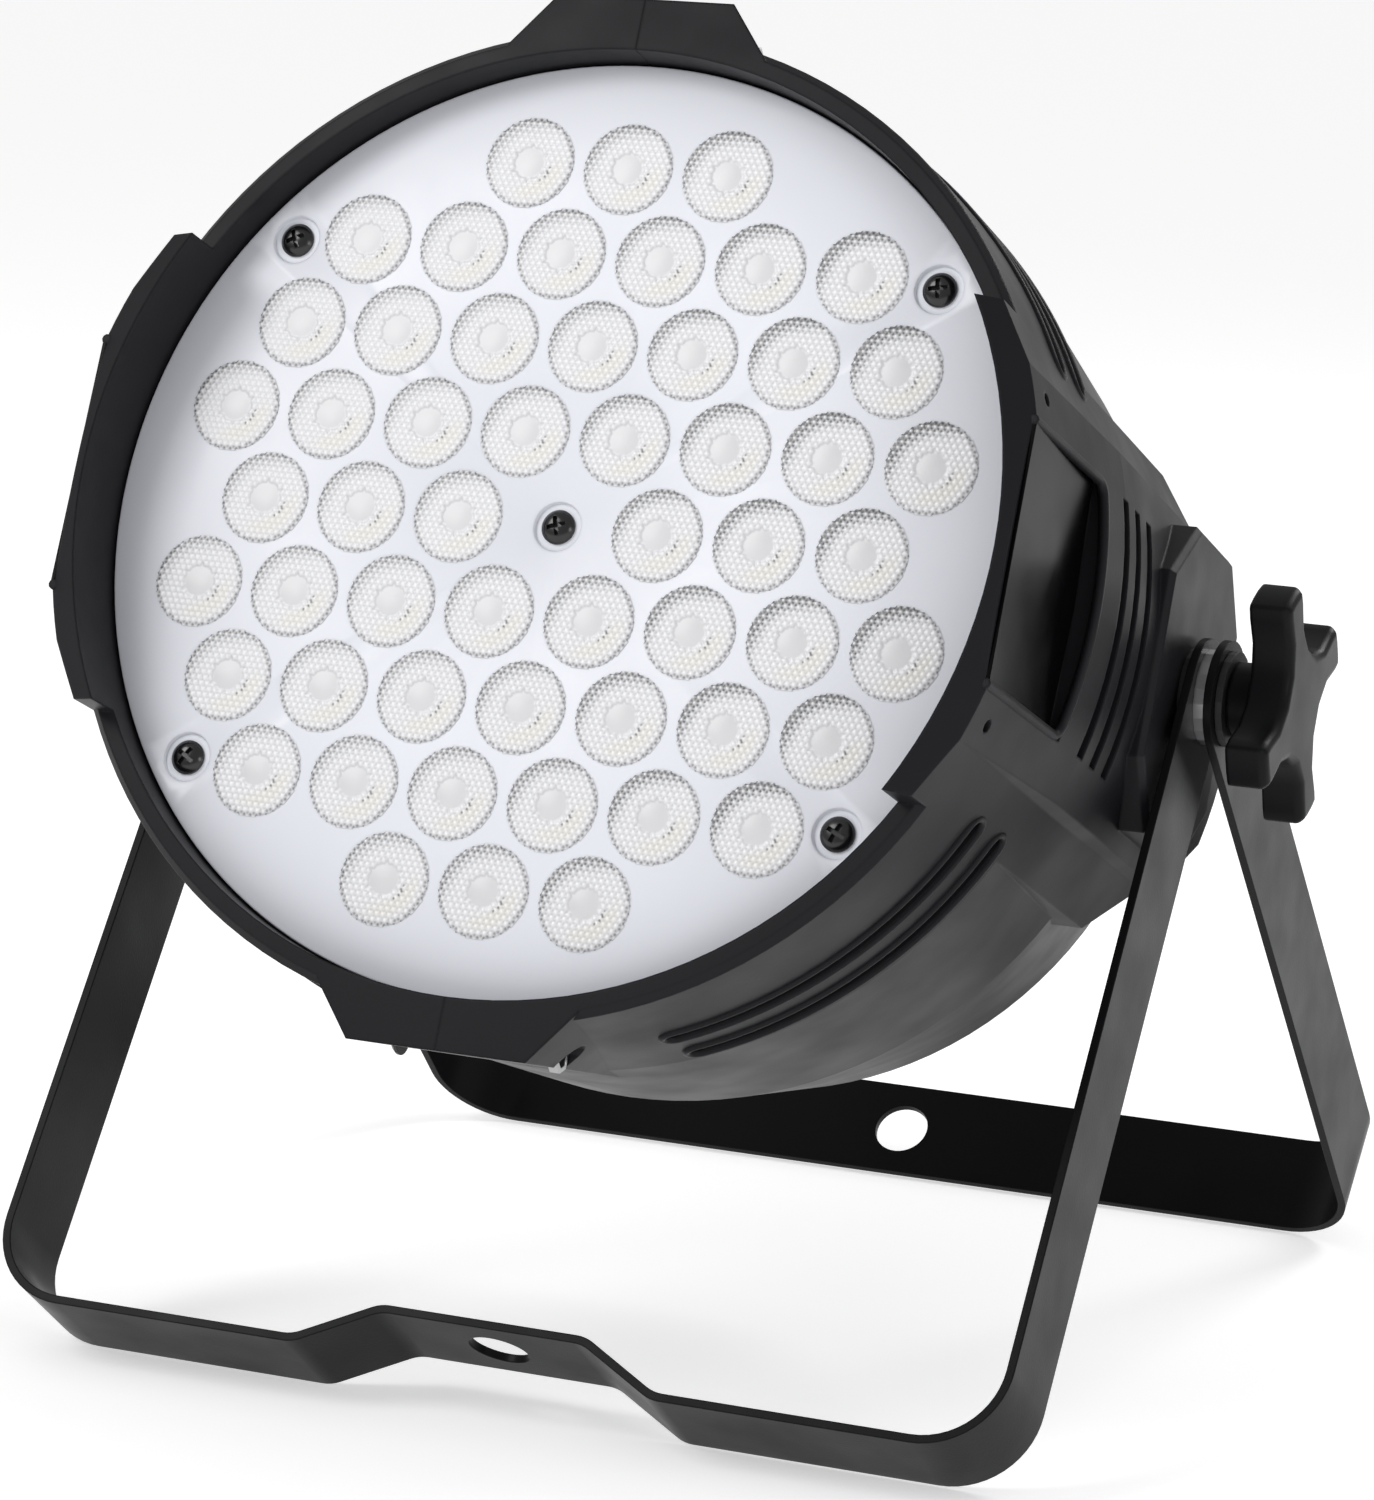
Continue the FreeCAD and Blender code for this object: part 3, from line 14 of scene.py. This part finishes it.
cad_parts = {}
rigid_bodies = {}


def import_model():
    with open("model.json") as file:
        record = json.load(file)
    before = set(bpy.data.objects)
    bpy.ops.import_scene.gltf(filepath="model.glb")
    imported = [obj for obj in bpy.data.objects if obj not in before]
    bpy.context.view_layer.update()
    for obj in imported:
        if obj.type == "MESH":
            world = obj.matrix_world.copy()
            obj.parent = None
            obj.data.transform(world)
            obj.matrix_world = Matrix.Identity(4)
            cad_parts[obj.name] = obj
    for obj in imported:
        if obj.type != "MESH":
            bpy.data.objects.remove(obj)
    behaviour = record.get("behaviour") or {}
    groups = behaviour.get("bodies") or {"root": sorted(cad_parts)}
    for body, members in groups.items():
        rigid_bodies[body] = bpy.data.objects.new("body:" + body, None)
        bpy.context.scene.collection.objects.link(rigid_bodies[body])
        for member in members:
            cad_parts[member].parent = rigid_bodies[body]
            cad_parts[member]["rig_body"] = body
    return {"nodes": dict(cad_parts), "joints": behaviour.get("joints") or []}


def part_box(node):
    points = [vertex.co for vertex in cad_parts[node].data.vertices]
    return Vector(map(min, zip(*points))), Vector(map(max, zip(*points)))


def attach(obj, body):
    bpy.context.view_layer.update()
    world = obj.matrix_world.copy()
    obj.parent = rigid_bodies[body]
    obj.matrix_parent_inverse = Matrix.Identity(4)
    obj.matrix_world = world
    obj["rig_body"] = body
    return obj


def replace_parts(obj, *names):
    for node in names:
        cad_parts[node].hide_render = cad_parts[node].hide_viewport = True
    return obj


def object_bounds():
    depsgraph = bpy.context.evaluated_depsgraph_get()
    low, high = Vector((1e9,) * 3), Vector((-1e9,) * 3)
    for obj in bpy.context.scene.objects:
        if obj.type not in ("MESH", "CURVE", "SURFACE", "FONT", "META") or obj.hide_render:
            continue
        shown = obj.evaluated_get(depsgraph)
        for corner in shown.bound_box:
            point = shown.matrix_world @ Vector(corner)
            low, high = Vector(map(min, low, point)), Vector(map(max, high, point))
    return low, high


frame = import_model()
CAD_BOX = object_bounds()
NODES = frame["nodes"]
JOINTS = {joint["name"]: joint for joint in frame["joints"]}
MM = 0.001

# Millimetres, in the head's own axes.
LENS_ROWS = (3, 6, 7, 8, 6, 8, 7, 6, 3)
LENS_PITCH = 22.0
LENS_RADIUS = 9.9
LENS_RISE = 0.5
CORE_RADIUS = 3.7
BEAD_PITCH = 1.4
BEAD_RISE = 0.42
PLATE_EDGE = 0.6
WELL_RADIUS = 5.2
WELL_DEPTH = 1.2
VENT_ANGLE = 48.0
VENT_SPAN = 43.0
VENT_ROWS = (20.0, 34.0)
VENT_WIDTH = 4.2
LIP_WIDTH = 1.6
LIP_HEIGHT = 0.8
BARREL_RADIUS = 104.0
HEAD_HEIGHT = 2.0
HEAD_FLANGE = 1.2
EAR_FRONT, EAR_FRONT_RADIUS = -15.0, 105.5
EAR_BACK, EAR_BACK_RADIUS = 40.0, 108.0
FRAME_RADIUS = 1.1
FRAME_CORNER = 3.0


def head_matrix():
    """The head's axes in the frame: its y is the fan's axis, and its origin is on the lens plate's face."""
    back = Vector(JOINTS["fan_spin"]["axis"]).normalized()
    pivot = Vector(JOINTS["head_tilt"]["pos_m"])
    front = min(vertex.co.dot(back) for vertex in NODES["lens_plate"].data.vertices) + LENS_RISE * MM
    right = Vector((1, 0, 0))
    up = right.cross(back)
    origin = pivot + back * (front - pivot.dot(back))
    turn = Matrix((right, back, up)).transposed().to_4x4()
    return Matrix.Translation(origin) @ turn @ Matrix.Scale(MM, 4)


HEAD = head_matrix()


# ---------------------------------------------------------------- materials

def shader(name, **sockets):
    """A new material and its Principled shader, with plain sockets set."""
    made = bpy.data.materials.new(name)
    made.use_nodes = True
    principled = made.node_tree.nodes["Principled BSDF"]
    for label, setting in sockets.items():
        principled.inputs[label.replace("_", " ")].default_value = setting
    return made, principled


def add_node(made, kind, **inputs):
    """A shader node of a kind, with plain inputs set."""
    item = made.node_tree.nodes.new("ShaderNode" + kind)
    for label, setting in inputs.items():
        item.inputs[label.replace("_", " ")].default_value = setting
    return item


def noise(made, scale, detail=2.0):
    """Noise in the object's own coordinates."""
    place = add_node(made, "TexCoord")
    texture = add_node(made, "TexNoise", Scale=scale, Detail=detail)
    made.node_tree.links.new(place.outputs["Object"], texture.inputs["Vector"])
    return texture.outputs["Fac"]


def ramp(made, source, low, high, start=0.3, end=0.7):
    """A colour that runs from low to high as the source does from start to end."""
    item = add_node(made, "ValToRGB")
    for stop, place, colour in zip(item.color_ramp.elements, (start, end), (low, high)):
        stop.position = place
        stop.color = (*colour, 1)
    made.node_tree.links.new(source, item.inputs["Fac"])
    return item.outputs["Color"]


def spread(made, source, low, high):
    """A number that runs from low to high with the source."""
    item = add_node(made, "MapRange", From_Min=0.3, From_Max=0.7, To_Min=low, To_Max=high)
    made.node_tree.links.new(source, item.inputs["Value"])
    return item.outputs["Result"]


def moulded(name, colour, roughness, grain=900.0, bump=0.12, edge=0.5, mottle=0.12, **sockets):
    """Plastic, paint or metal: fine grain in relief, softened edges, and slow changes in tone and gloss."""
    made, principled = shader(name, **sockets)
    link = made.node_tree.links.new
    slow = noise(made, 14.0, 3.0)
    dark = tuple(part * (1 - mottle) for part in colour)
    light = tuple(part * (1 + mottle) for part in colour)
    link(ramp(made, slow, dark, light), principled.inputs["Base Color"])
    link(spread(made, noise(made, 55.0), roughness - 0.05, roughness + 0.05), principled.inputs["Roughness"])
    soften = add_node(made, "Bevel", Radius=edge * MM)
    soften.samples = 4
    relief = add_node(made, "Bump", Strength=bump, Distance=0.1 * MM)
    link(noise(made, grain), relief.inputs["Height"])
    link(soften.outputs["Normal"], relief.inputs["Normal"])
    link(relief.outputs["Normal"], principled.inputs["Normal"])
    return made


def tinted(name, attribute, roughness, **sockets):
    """A glossy clear moulding whose colour, painted shade included, is stored at its points."""
    made, principled = shader(name, Roughness=roughness, **sockets)
    item = made.node_tree.nodes.new("ShaderNodeVertexColor")
    item.layer_name = attribute
    made.node_tree.links.new(item.outputs["Color"], principled.inputs["Base Color"])
    return made


HOUSING = moulded("housing_plastic", (0.0115, 0.011, 0.013), 0.4, bump=0.14, edge=0.8, Specular_IOR_Level=0.13)
BADGE = moulded("badge_gloss", (0.0015, 0.0015, 0.002), 0.2, bump=0.0, edge=0.3, Specular_IOR_Level=0.06)
STRAP = moulded("strap_powder_coat", (0.006, 0.006, 0.0068), 0.34, grain=1600.0, bump=0.2, edge=0.35,
                Specular_IOR_Level=0.09)
KNOB = moulded("knob_plastic", (0.007, 0.007, 0.008), 0.36, bump=0.12, edge=0.5, Specular_IOR_Level=0.09)
PLATE = moulded("plate_frosted", (0.85, 0.865, 0.93), 0.34, grain=300.0, bump=0.02, mottle=0.025)
# The lens beads: colour with painted shade, read from the points' colour layer.
BEADS = tinted("lens_beads", "colour_and_painted_shade", 0.24)
FASTENER = moulded("fastener_black", (0.005, 0.005, 0.006), 0.24, bump=0.05, edge=0.15, Specular_IOR_Level=0.6)
STEEL = moulded("steel_zinc", (0.55, 0.55, 0.56), 0.3, bump=0.08, edge=0.2, Metallic=1.0)
WASHER = moulded("washer_fibre", (0.012, 0.012, 0.013), 0.5, bump=0.1, edge=0.2)
FAN = moulded("fan_plastic", (0.014, 0.014, 0.015), 0.4, bump=0.1, edge=0.3)
SINK = moulded("sink_aluminium", (0.62, 0.63, 0.65), 0.38, grain=500.0, bump=0.1, edge=0.2, Metallic=1.0)
BOARD = moulded("board_white", (0.75, 0.76, 0.74), 0.4, bump=0.03)
CIRCUIT = moulded("board_green", (0.02, 0.13, 0.05), 0.35, grain=250.0, bump=0.15, mottle=0.3)
EMITTER = moulded("emitter_yellow", (0.75, 0.6, 0.16), 0.35, bump=0.03)
NYLON = moulded("nylon_white", (0.72, 0.71, 0.66), 0.42, bump=0.05)
DISPLAY = moulded("display_red", (0.05, 0.004, 0.004), 0.08, bump=0.0, edge=0.2, Coat_Weight=0.7)
BUTTON = moulded("button_grey", (0.16, 0.16, 0.17), 0.45, bump=0.1, edge=0.4)
SOCKET = moulded("socket_plastic", (0.013, 0.013, 0.014), 0.34, bump=0.08, edge=0.3)
SHELL = moulded("socket_metal", (0.30, 0.30, 0.31), 0.33, bump=0.08, edge=0.3, Metallic=1.0)

FINISHES = {
    "housing": HOUSING, "badge": BADGE, "front_yoke": STRAP, "rear_yoke": STRAP, "knob": KNOB,
    "knob_stud": STEEL, "knob_washer": WASHER, "yoke_washer": STEEL, "ear_washer": WASHER, "pivot_nut": STEEL,
    "rear_panel": STRAP, "fan": FAN, "heat_sink": SINK, "led_board": BOARD, "led_emitters": EMITTER,
    "psu_board": CIRCUIT, "control_board": CIRCUIT, "psu_standoffs": STEEL, "control_standoffs": STEEL,
    "plate_standoffs": NYLON, "display": DISPLAY, "button": BUTTON, "dmx": SHELL, "power": SOCKET,
    "fuse_holder": SOCKET, "seam_nuts": STEEL, "lens_plate": PLATE, "plate_screws": FASTENER,
    "panel_screws": FASTENER, "fan_screws": FASTENER, "seam_screws": FASTENER,
}


def dress_cad():
    """Every CAD node takes the finish whose key is the longest start of its name."""
    for name, item in NODES.items():
        key = max((start for start in FINISHES if name.startswith(start)), key=len)
        item.data.materials.clear()
        item.data.materials.append(FINISHES[key])


# ---------------------------------------------------------------- pieces

def piece(name, mesh, made, body="head", place=HEAD):
    """A new object from a bmesh in millimetres, carried into the frame, with its finish and its body."""
    data = bpy.data.meshes.new(name)
    bmesh.ops.recalc_face_normals(mesh, faces=mesh.faces)
    mesh.to_mesh(data)
    mesh.free()
    data.transform(place)
    data.polygons.foreach_set("use_smooth", [True] * len(data.polygons))
    data.materials.append(made)
    item = bpy.data.objects.new(name, data)
    bpy.context.scene.collection.objects.link(item)
    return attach(item, body)


def turned(mesh, outline, sides, place=Matrix.Identity(4)):
    """A closed outline of (radius, height) points turned about Z."""
    rings = []
    for radius, height in outline:
        turns = [math.tau * k / sides for k in range(sides)]
        rings.append([mesh.verts.new(place @ Vector((radius * math.cos(t), radius * math.sin(t), height)))
                      for t in turns])
    for near, far in zip(rings, rings[1:]):
        for k in range(sides):
            mesh.faces.new((near[k], near[(k + 1) % sides], far[(k + 1) % sides], far[k]))
    for ring in (rings[0], rings[-1]):
        mesh.faces.new(ring)


def lens_places():
    """Lens centres: staggered rows on a triangular lattice, with the middle place left for a screw."""
    middle = len(LENS_ROWS) // 2
    for row, count in enumerate(LENS_ROWS):
        for k in range(count):
            step = k - (count - 1) / 2
            if row == middle:
                step += math.copysign(0.5, step)
            yield step * LENS_PITCH, (row - middle) * LENS_PITCH * math.sqrt(3) / 2


def smooth(low, high, spot):
    """0 below low and 1 above high, with a soft run between."""
    share = min(1.0, max(0.0, (spot - low) / (high - low)))
    return share * share * (3 - 2 * share)


def lens_colour_with_painted_shade(u, v, valley_painted_shade, side):
    """The colour at a point of a lens: clear white with painted shade between the beads, heavier in a painted
    shade crescent on the far side and a painted shade ring at the rim, a greyer core with painted shade on one
    side, and warm over the chip.
    """
    rho = math.hypot(u, v)
    lean = (-u * 0.62 + v * 0.78) / LENS_RADIUS
    # Painted shade: a dark crescent on the far side of the lens and a dark ring at its rim.
    painted_shade_crescent = smooth(0.1, 0.8, lean) * smooth(0.5, 0.95, rho / LENS_RADIUS)
    painted_shade_rim = smooth(0.82, 0.97, rho / LENS_RADIUS)
    # Painted shade between the beads, heavier in the crescent, at the rim and on lenses further right.
    dark = valley_painted_shade * (0.3 + (0.5 + 0.8 * side) * painted_shade_crescent + 0.55 * painted_shade_rim)
    warm = smooth(0.15, 0.6, -lean) * smooth(CORE_RADIUS, 5, rho) * smooth(9, 6, rho)
    # The core: greyer, with painted shade on its far side.
    if rho < CORE_RADIUS:
        dark = 0.06 + 0.08 * smooth(-0.2, 0.3, lean)
        warm = 0.1
    tone = (0.82 if rho < CORE_RADIUS else 0.97) * max(0.04, 1 - dark)
    return (tone, tone * (1 - 0.02 * warm), tone * (1.03 - 0.1 * warm), 1)


def lens_sheet():
    """All lenses as one mesh: each a round field of hexagonal beads about a smooth clear core, coloured at its
    points with painted shade.
    """
    mesh = bmesh.new()
    # The colour layer holds each lens's colour with its painted shade.
    colour_and_painted_shade = mesh.verts.layers.float_color.new("colour_and_painted_shade")
    step = BEAD_PITCH / 3
    reach = int(LENS_RADIUS / (step * math.sqrt(3) / 2)) + 1
    # Painted shade: four dark dots beside each lens core.
    painted_shade_dots = [Vector((math.cos(math.radians(turn)), math.sin(math.radians(turn)))) * (CORE_RADIUS + 1.0)
            for turn in (-8, -22, -36, -50)]
    for x, z in lens_places():
        # side: the painted shade grows on lenses further to the right.
        side = smooth(-30, 90, x)
        grid = {}
        for j in range(-reach, reach + 1):
            for i in range(-2 * reach, 2 * reach + 1):
                u, v = (i + j / 2) * step, j * step * math.sqrt(3) / 2
                rho = math.hypot(u, v)
                if rho > LENS_RADIUS:
                    continue
                third = (i - j) % 3
                bead = 1.0 if i % 3 == 0 and j % 3 == 0 else 0.0
                if not bead:
                    bead = 0.0 if third == 0 and (i % 3, j % 3) != (0, 0) else 0.62
                rise = 0.12 + BEAD_RISE * 0.8 * bead * smooth(LENS_RADIUS, LENS_RADIUS - 0.8, rho)
                if rho < CORE_RADIUS:
                    rise = 0.1 + 0.2 * (1 - (rho / CORE_RADIUS) ** 2)
                    bead = 1.0
                point = mesh.verts.new((x + u, -rise, z + v))
                # Points at the dots take the dark painted shade colour; the rest take the lens colour with its
                # painted shade.
                spot = any((Vector((u, v)) - dot).length < step * 0.62 for dot in painted_shade_dots)
                point[colour_and_painted_shade] = (0.12, 0.12, 0.13, 1) if spot else lens_colour_with_painted_shade(u, v, 1 - bead, side)
                grid[i, j] = point
        for (i, j), point in grid.items():
            for far in ((i + 1, j), (i, j + 1)), ((i, j + 1), (i - 1, j + 1)):
                if far[0] in grid and far[1] in grid:
                    mesh.faces.new((point, grid[far[0]], grid[far[1]]))
    return piece("lens_beads", mesh, BEADS)


def islands(name):
    """The separate solids of a CAD node, each as a list of its points in the head's axes."""
    mesh = bmesh.new()
    mesh.from_mesh(NODES[name].data)
    bmesh.ops.remove_doubles(mesh, verts=mesh.verts, dist=1e-6)
    left, back = set(mesh.verts), HEAD.inverted()
    found = []
    while left:
        group, queue = [], [left.pop()]
        while queue:
            point = queue.pop()
            group.append(back @ point.co)
            for edge in point.link_edges:
                other = edge.other_vert(point)
                if other in left:
                    left.remove(other)
                    queue.append(other)
        found.append(group)
    mesh.free()
    return found


def screw_sites(name, facing):
    """For each screw of a CAD node, the middle of its head's top and the head's radius."""
    sites = []
    for group in islands(name):
        top = max(point.dot(facing) for point in group)
        crown = [point for point in group if point.dot(facing) > top - 0.05]
        middle = sum(crown, Vector()) / len(crown)
        sites.append((middle, max((point - middle).length for point in crown)))
    return sites


def pan_head(radius, height):
    """A pan head with a cross recess, about Z, its top at height 0 and its shank below."""
    mesh = bmesh.new()
    dome = [(radius * share, -height * (1 - math.sqrt(max(0.0, 1 - share ** 3)))) for share in (0.12, 0.4, 0.65, 0.83, 0.94)]
    rest = [(radius, -height * 0.72), (radius, -height), (radius * 0.48, -height), (radius * 0.48, -height * 2.6)]
    turned(mesh, dome + rest, 32)
    bmesh.ops.recalc_face_normals(mesh, faces=mesh.faces)
    cross = bmesh.new()
    for turn in (0, 90):
        size = Matrix.Diagonal((radius * 1.15, radius * 0.26, height * 1.3, 1))
        bmesh.ops.create_cube(cross, size=1, matrix=Matrix.Rotation(math.radians(turn), 4, "Z") @ size)
    return carved(mesh, cross)


def solid(mesh, name):
    """A plain object that holds a bmesh."""
    data = bpy.data.meshes.new(name)
    mesh.to_mesh(data)
    mesh.free()
    item = bpy.data.objects.new(name, data)
    bpy.context.scene.collection.objects.link(item)
    return item


def carved(mesh, cutter):
    """The first bmesh with the second cut away."""
    kept, tool = solid(mesh, "kept"), solid(cutter, "tool")
    cut = kept.modifiers.new("cut", "BOOLEAN")
    cut.object, cut.operation, cut.solver, cut.use_self = tool, "DIFFERENCE", "EXACT", True
    bpy.context.view_layer.update()
    result = bpy.data.meshes.new_from_object(kept.evaluated_get(bpy.context.evaluated_depsgraph_get()))
    for item in (kept, tool):
        bpy.data.objects.remove(item)
    made = bmesh.new()
    made.from_mesh(result)
    bpy.data.meshes.remove(result)
    return made


def screws(name, facing):
    """Cross-head screws in place of a CAD node's plain ones."""
    facing = Vector(facing)
    sites = screw_sites(name, facing)
    pattern = pan_head(sites[0][1] * HEAD_FLANGE, HEAD_HEIGHT)
    shape = bpy.data.meshes.new("screw_pattern")
    pattern.to_mesh(shape)
    pattern.free()
    mesh = bmesh.new()
    for number, (middle, radius) in enumerate(sites):
        turn = facing.to_track_quat("Z", "Y").to_matrix().to_4x4()
        spin = Matrix.Rotation(math.radians(25 + 41 * number), 4, "Z")
        before = len(mesh.verts)
        mesh.from_mesh(shape)
        mesh.verts.ensure_lookup_table()
        bmesh.ops.transform(mesh, matrix=Matrix.Translation(middle) @ turn @ spin, verts=mesh.verts[before:])
    bpy.data.meshes.remove(shape)
    item = piece(name + "_cross_head", mesh, FASTENER)
    sharpen(item, 35)
    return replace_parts(item, name)


def sharpen(item, degrees):
    """Smooth shading with edges over an angle left sharp."""
    item.data.set_sharp_from_angle(angle=math.radians(degrees))


def lens_plate():
    """The frosted plate, with an eased edge and a well round each screw."""
    low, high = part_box("lens_plate")
    radius = (high.x - low.x) / 2 / MM
    thickness = 3.0
    upright = Matrix.Rotation(math.radians(90), 4, "X")
    disc = bmesh.new()
    outline = [(0.01, 0), (radius - PLATE_EDGE, 0), (radius - PLATE_EDGE * 0.3, -PLATE_EDGE * 0.3),
               (radius, -PLATE_EDGE), (radius, -thickness), (0.01, -thickness)]
    turned(disc, outline, 192, upright)
    bmesh.ops.recalc_face_normals(disc, faces=disc.faces)
    wells = bmesh.new()
    for middle, _ in screw_sites("plate_screws", Vector((0, -1, 0))):
        place = Matrix.Translation(Vector((middle.x, 0, middle.z))) @ upright
        well = [(0.01, 1), (WELL_RADIUS + 0.9, 1), (WELL_RADIUS + 0.7, 0.05), (WELL_RADIUS, -0.3),
                (WELL_RADIUS - 0.2, -WELL_DEPTH), (0.01, -WELL_DEPTH)]
        turned(wells, well, 40, place)
    bmesh.ops.recalc_face_normals(wells, faces=wells.faces)
    item = piece("lens_sheet", carved(disc, wells), PLATE)
    sharpen(item, 30)
    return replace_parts(item, "lens_plate")


def vent_lips():
    """A rounded lip round each vent slot of the barrel."""
    mesh = bmesh.new()
    offset = VENT_WIDTH / 2 + LIP_WIDTH / 2
    half = math.radians(VENT_SPAN / 2) * BARREL_RADIUS - VENT_WIDTH / 2
    runs, bends = 24, 8
    for side in (1, -1):
        for up in (1, -1):
            for row in VENT_ROWS:
                line = []
                for end in (1, -1):
                    line += [(end * (-half + 2 * half * k / runs), end * offset) for k in range(runs)]
                    line += [(end * (half + offset * math.sin(math.pi * k / bends)),
                              end * offset * math.cos(math.pi * k / bends)) for k in range(bends)]
                add_lip(mesh, line, side, up, row)
    item = piece("vent_lips", mesh, HOUSING)
    sharpen(item, 60)
    return item


def add_lip(mesh, line, side, up, row):
    """One closed lip along a line of (arc length, offset) points on the barrel."""
    section = [(math.cos(t), max(-0.4, math.sin(t))) for t in (math.radians(a) for a in (-20, 25, 60, 90, 120, 155, 200))]
    count = len(line)
    rings = []
    for k, (arc, shift) in enumerate(line):
        ahead, behind = line[(k + 1) % count], line[k - 1]
        along = Vector((ahead[0] - behind[0], ahead[1] - behind[1])).normalized()
        across = Vector((along.y, -along.x))
        ring = []
        for wide, high in section:
            turn = math.radians(VENT_ANGLE) + (arc + across.x * wide * LIP_WIDTH / 2) / BARREL_RADIUS
            reach = BARREL_RADIUS + high * LIP_HEIGHT
            depth = row + shift + across.y * wide * LIP_WIDTH / 2
            ring.append(mesh.verts.new((side * reach * math.cos(turn), depth, up * reach * math.sin(turn))))
        rings.append(ring)
    for k, ring in enumerate(rings):
        ahead = rings[(k + 1) % count]
        for j in range(len(section) - 1):
            mesh.faces.new((ring[j], ring[j + 1], ahead[j + 1], ahead[j]))


def softened(name, width, angle=32, segments=2):
    """A CAD node's own shape with its faces joined, its corners eased and smooth shading between them."""
    mesh = bmesh.new()
    mesh.from_mesh(NODES[name].data)
    bmesh.ops.remove_doubles(mesh, verts=mesh.verts, dist=1e-6)
    bmesh.ops.dissolve_limit(mesh, angle_limit=math.radians(1), verts=mesh.verts, edges=mesh.edges)
    if width:
        sharp = [edge for edge in mesh.edges
                 if len(edge.link_faces) == 2 and edge.calc_face_angle(0) > math.radians(angle)]
        bmesh.ops.bevel(mesh, geom=sharp, offset=width * MM, segments=segments, profile=0.6, affect="EDGES",
                        clamp_overlap=True)
    item = piece(name + "_soft", mesh, NODES[name].data.materials[0], NODES[name]["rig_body"], Matrix.Identity(4))
    sharpen(item, angle)
    even = item.modifiers.new("even", "WEIGHTED_NORMAL")
    even.keep_sharp = True
    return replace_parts(item, name)


def badge_frame(name, side):
    """The rounded rim round a badge's top, back and bottom, laid on the ear's flaring face."""
    inverse = HEAD.inverted()
    points = [inverse @ vertex.co for vertex in NODES[name].data.vertices]
    front, back = min(point.y for point in points), max(point.y for point in points)
    top = max(point.z for point in points)
    line = [Vector((front, top))]
    for end, start in ((1, 90), (-1, 0)):
        centre = Vector((back - FRAME_CORNER, end * (top - FRAME_CORNER)))
        for k in range(7):
            turn = math.radians(start - 15 * k)
            line.append(centre + FRAME_CORNER * Vector((math.cos(turn), math.sin(turn))))
    line.append(Vector((front, -top)))
    path = []
    for here, ahead in zip(line, line[1:]):
        steps = max(1, round((ahead - here).length / 3))
        path += [here.lerp(ahead, k / steps) for k in range(steps)]
    path.append(line[-1])
    curve = bpy.data.curves.new(name + "_frame", "CURVE")
    curve.dimensions, curve.bevel_depth, curve.bevel_resolution = "3D", FRAME_RADIUS * MM, 3
    curve.use_fill_caps = True
    spline = curve.splines.new("POLY")
    spline.points.add(len(path) - 1)
    for point, (y, z) in zip(spline.points, path):
        share = (y - EAR_FRONT) / (EAR_BACK - EAR_FRONT)
        radius = EAR_FRONT_RADIUS + share * (EAR_BACK_RADIUS - EAR_FRONT_RADIUS) - FRAME_RADIUS * 0.4
        point.co = (*(HEAD @ Vector((side * math.sqrt(radius ** 2 - z ** 2), y, z))), 1)
    curve.materials.append(HOUSING)
    item = bpy.data.objects.new(name + "_frame", curve)
    bpy.context.scene.collection.objects.link(item)
    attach(item, "head")
    return item


# ---------------------------------------------------------------- stage

def floor():
    """A plain pale sheet to stand on, wide enough to fill the view."""
    mesh = bmesh.new()
    bmesh.ops.create_grid(mesh, x_segments=2, y_segments=2, size=60)
    item = solid(mesh, "floor")
    item.location.z = CAD_BOX[0].z - 0.0002
    made, _ = shader("floor_pale", Base_Color=(0.85, 0.85, 0.85, 1), Roughness=0.9, Emission_Color=(1, 1, 1, 1),
                     Emission_Strength=0.5)
    item.data.materials.append(made)


def panel_light(name, place, target, size, power):
    """A soft square light that faces a point."""
    lamp = bpy.data.lights.new(name, "AREA")
    lamp.energy, lamp.size = power, size
    item = bpy.data.objects.new(name, lamp)
    item.location = place
    item.rotation_euler = (Vector(target) - Vector(place)).to_track_quat("-Z", "Y").to_euler()
    bpy.context.scene.collection.objects.link(item)


def studio():
    """Bright even surroundings, a broad key from the upper left and softer fills."""
    world = bpy.data.worlds.new("studio")
    world.use_nodes = True
    world.node_tree.nodes["Background"].inputs["Color"].default_value = (1, 1, 1, 1)
    world.node_tree.nodes["Background"].inputs["Strength"].default_value = 0.5
    bpy.context.scene.world = world
    middle = (0, 0, 0.15)
    panel_light("key", (-0.9, -1.1, 1.3), middle, 0.7, 9)
    panel_light("fill", (1.3, -0.7, 0.5), middle, 0.4, 2)
    panel_light("back", (0.6, 1.2, 1.1), middle, 0.6, 8)


def camera():
    """The view of the lamp from its front right, a little above."""
    lens = bpy.data.cameras.new("camera")
    lens.lens, lens.sensor_width = 130.224, 36.0
    item = bpy.data.objects.new("camera", lens)
    item.location = (0.44070551, -1.08165882, 0.33692759)
    item.rotation_euler = Euler([math.radians(turn) for turn in (79.64276453, -2.20132697, 22.87637562)])
    bpy.context.scene.collection.objects.link(item)
    bpy.context.scene.camera = item


dress_cad()
lens_plate()
lens_sheet()
screws("plate_screws", (0, -1, 0))
screws("panel_screws", (0, 1, 0))
screws("fan_screws", (0, 1, 0))
screws("seam_screws", (-1, 0, 0))
vent_lips()
for side, hand in ((1, "right"), (-1, "left")):
    badge_frame("badge_" + hand, side)
    softened("knob_" + hand, 1.2, 40, 3)
for strap in ("front_yoke", "rear_yoke"):
    softened(strap, 0.35, 40)
floor()
studio()
camera()
bpy.context.scene.view_settings.view_transform = "Standard"
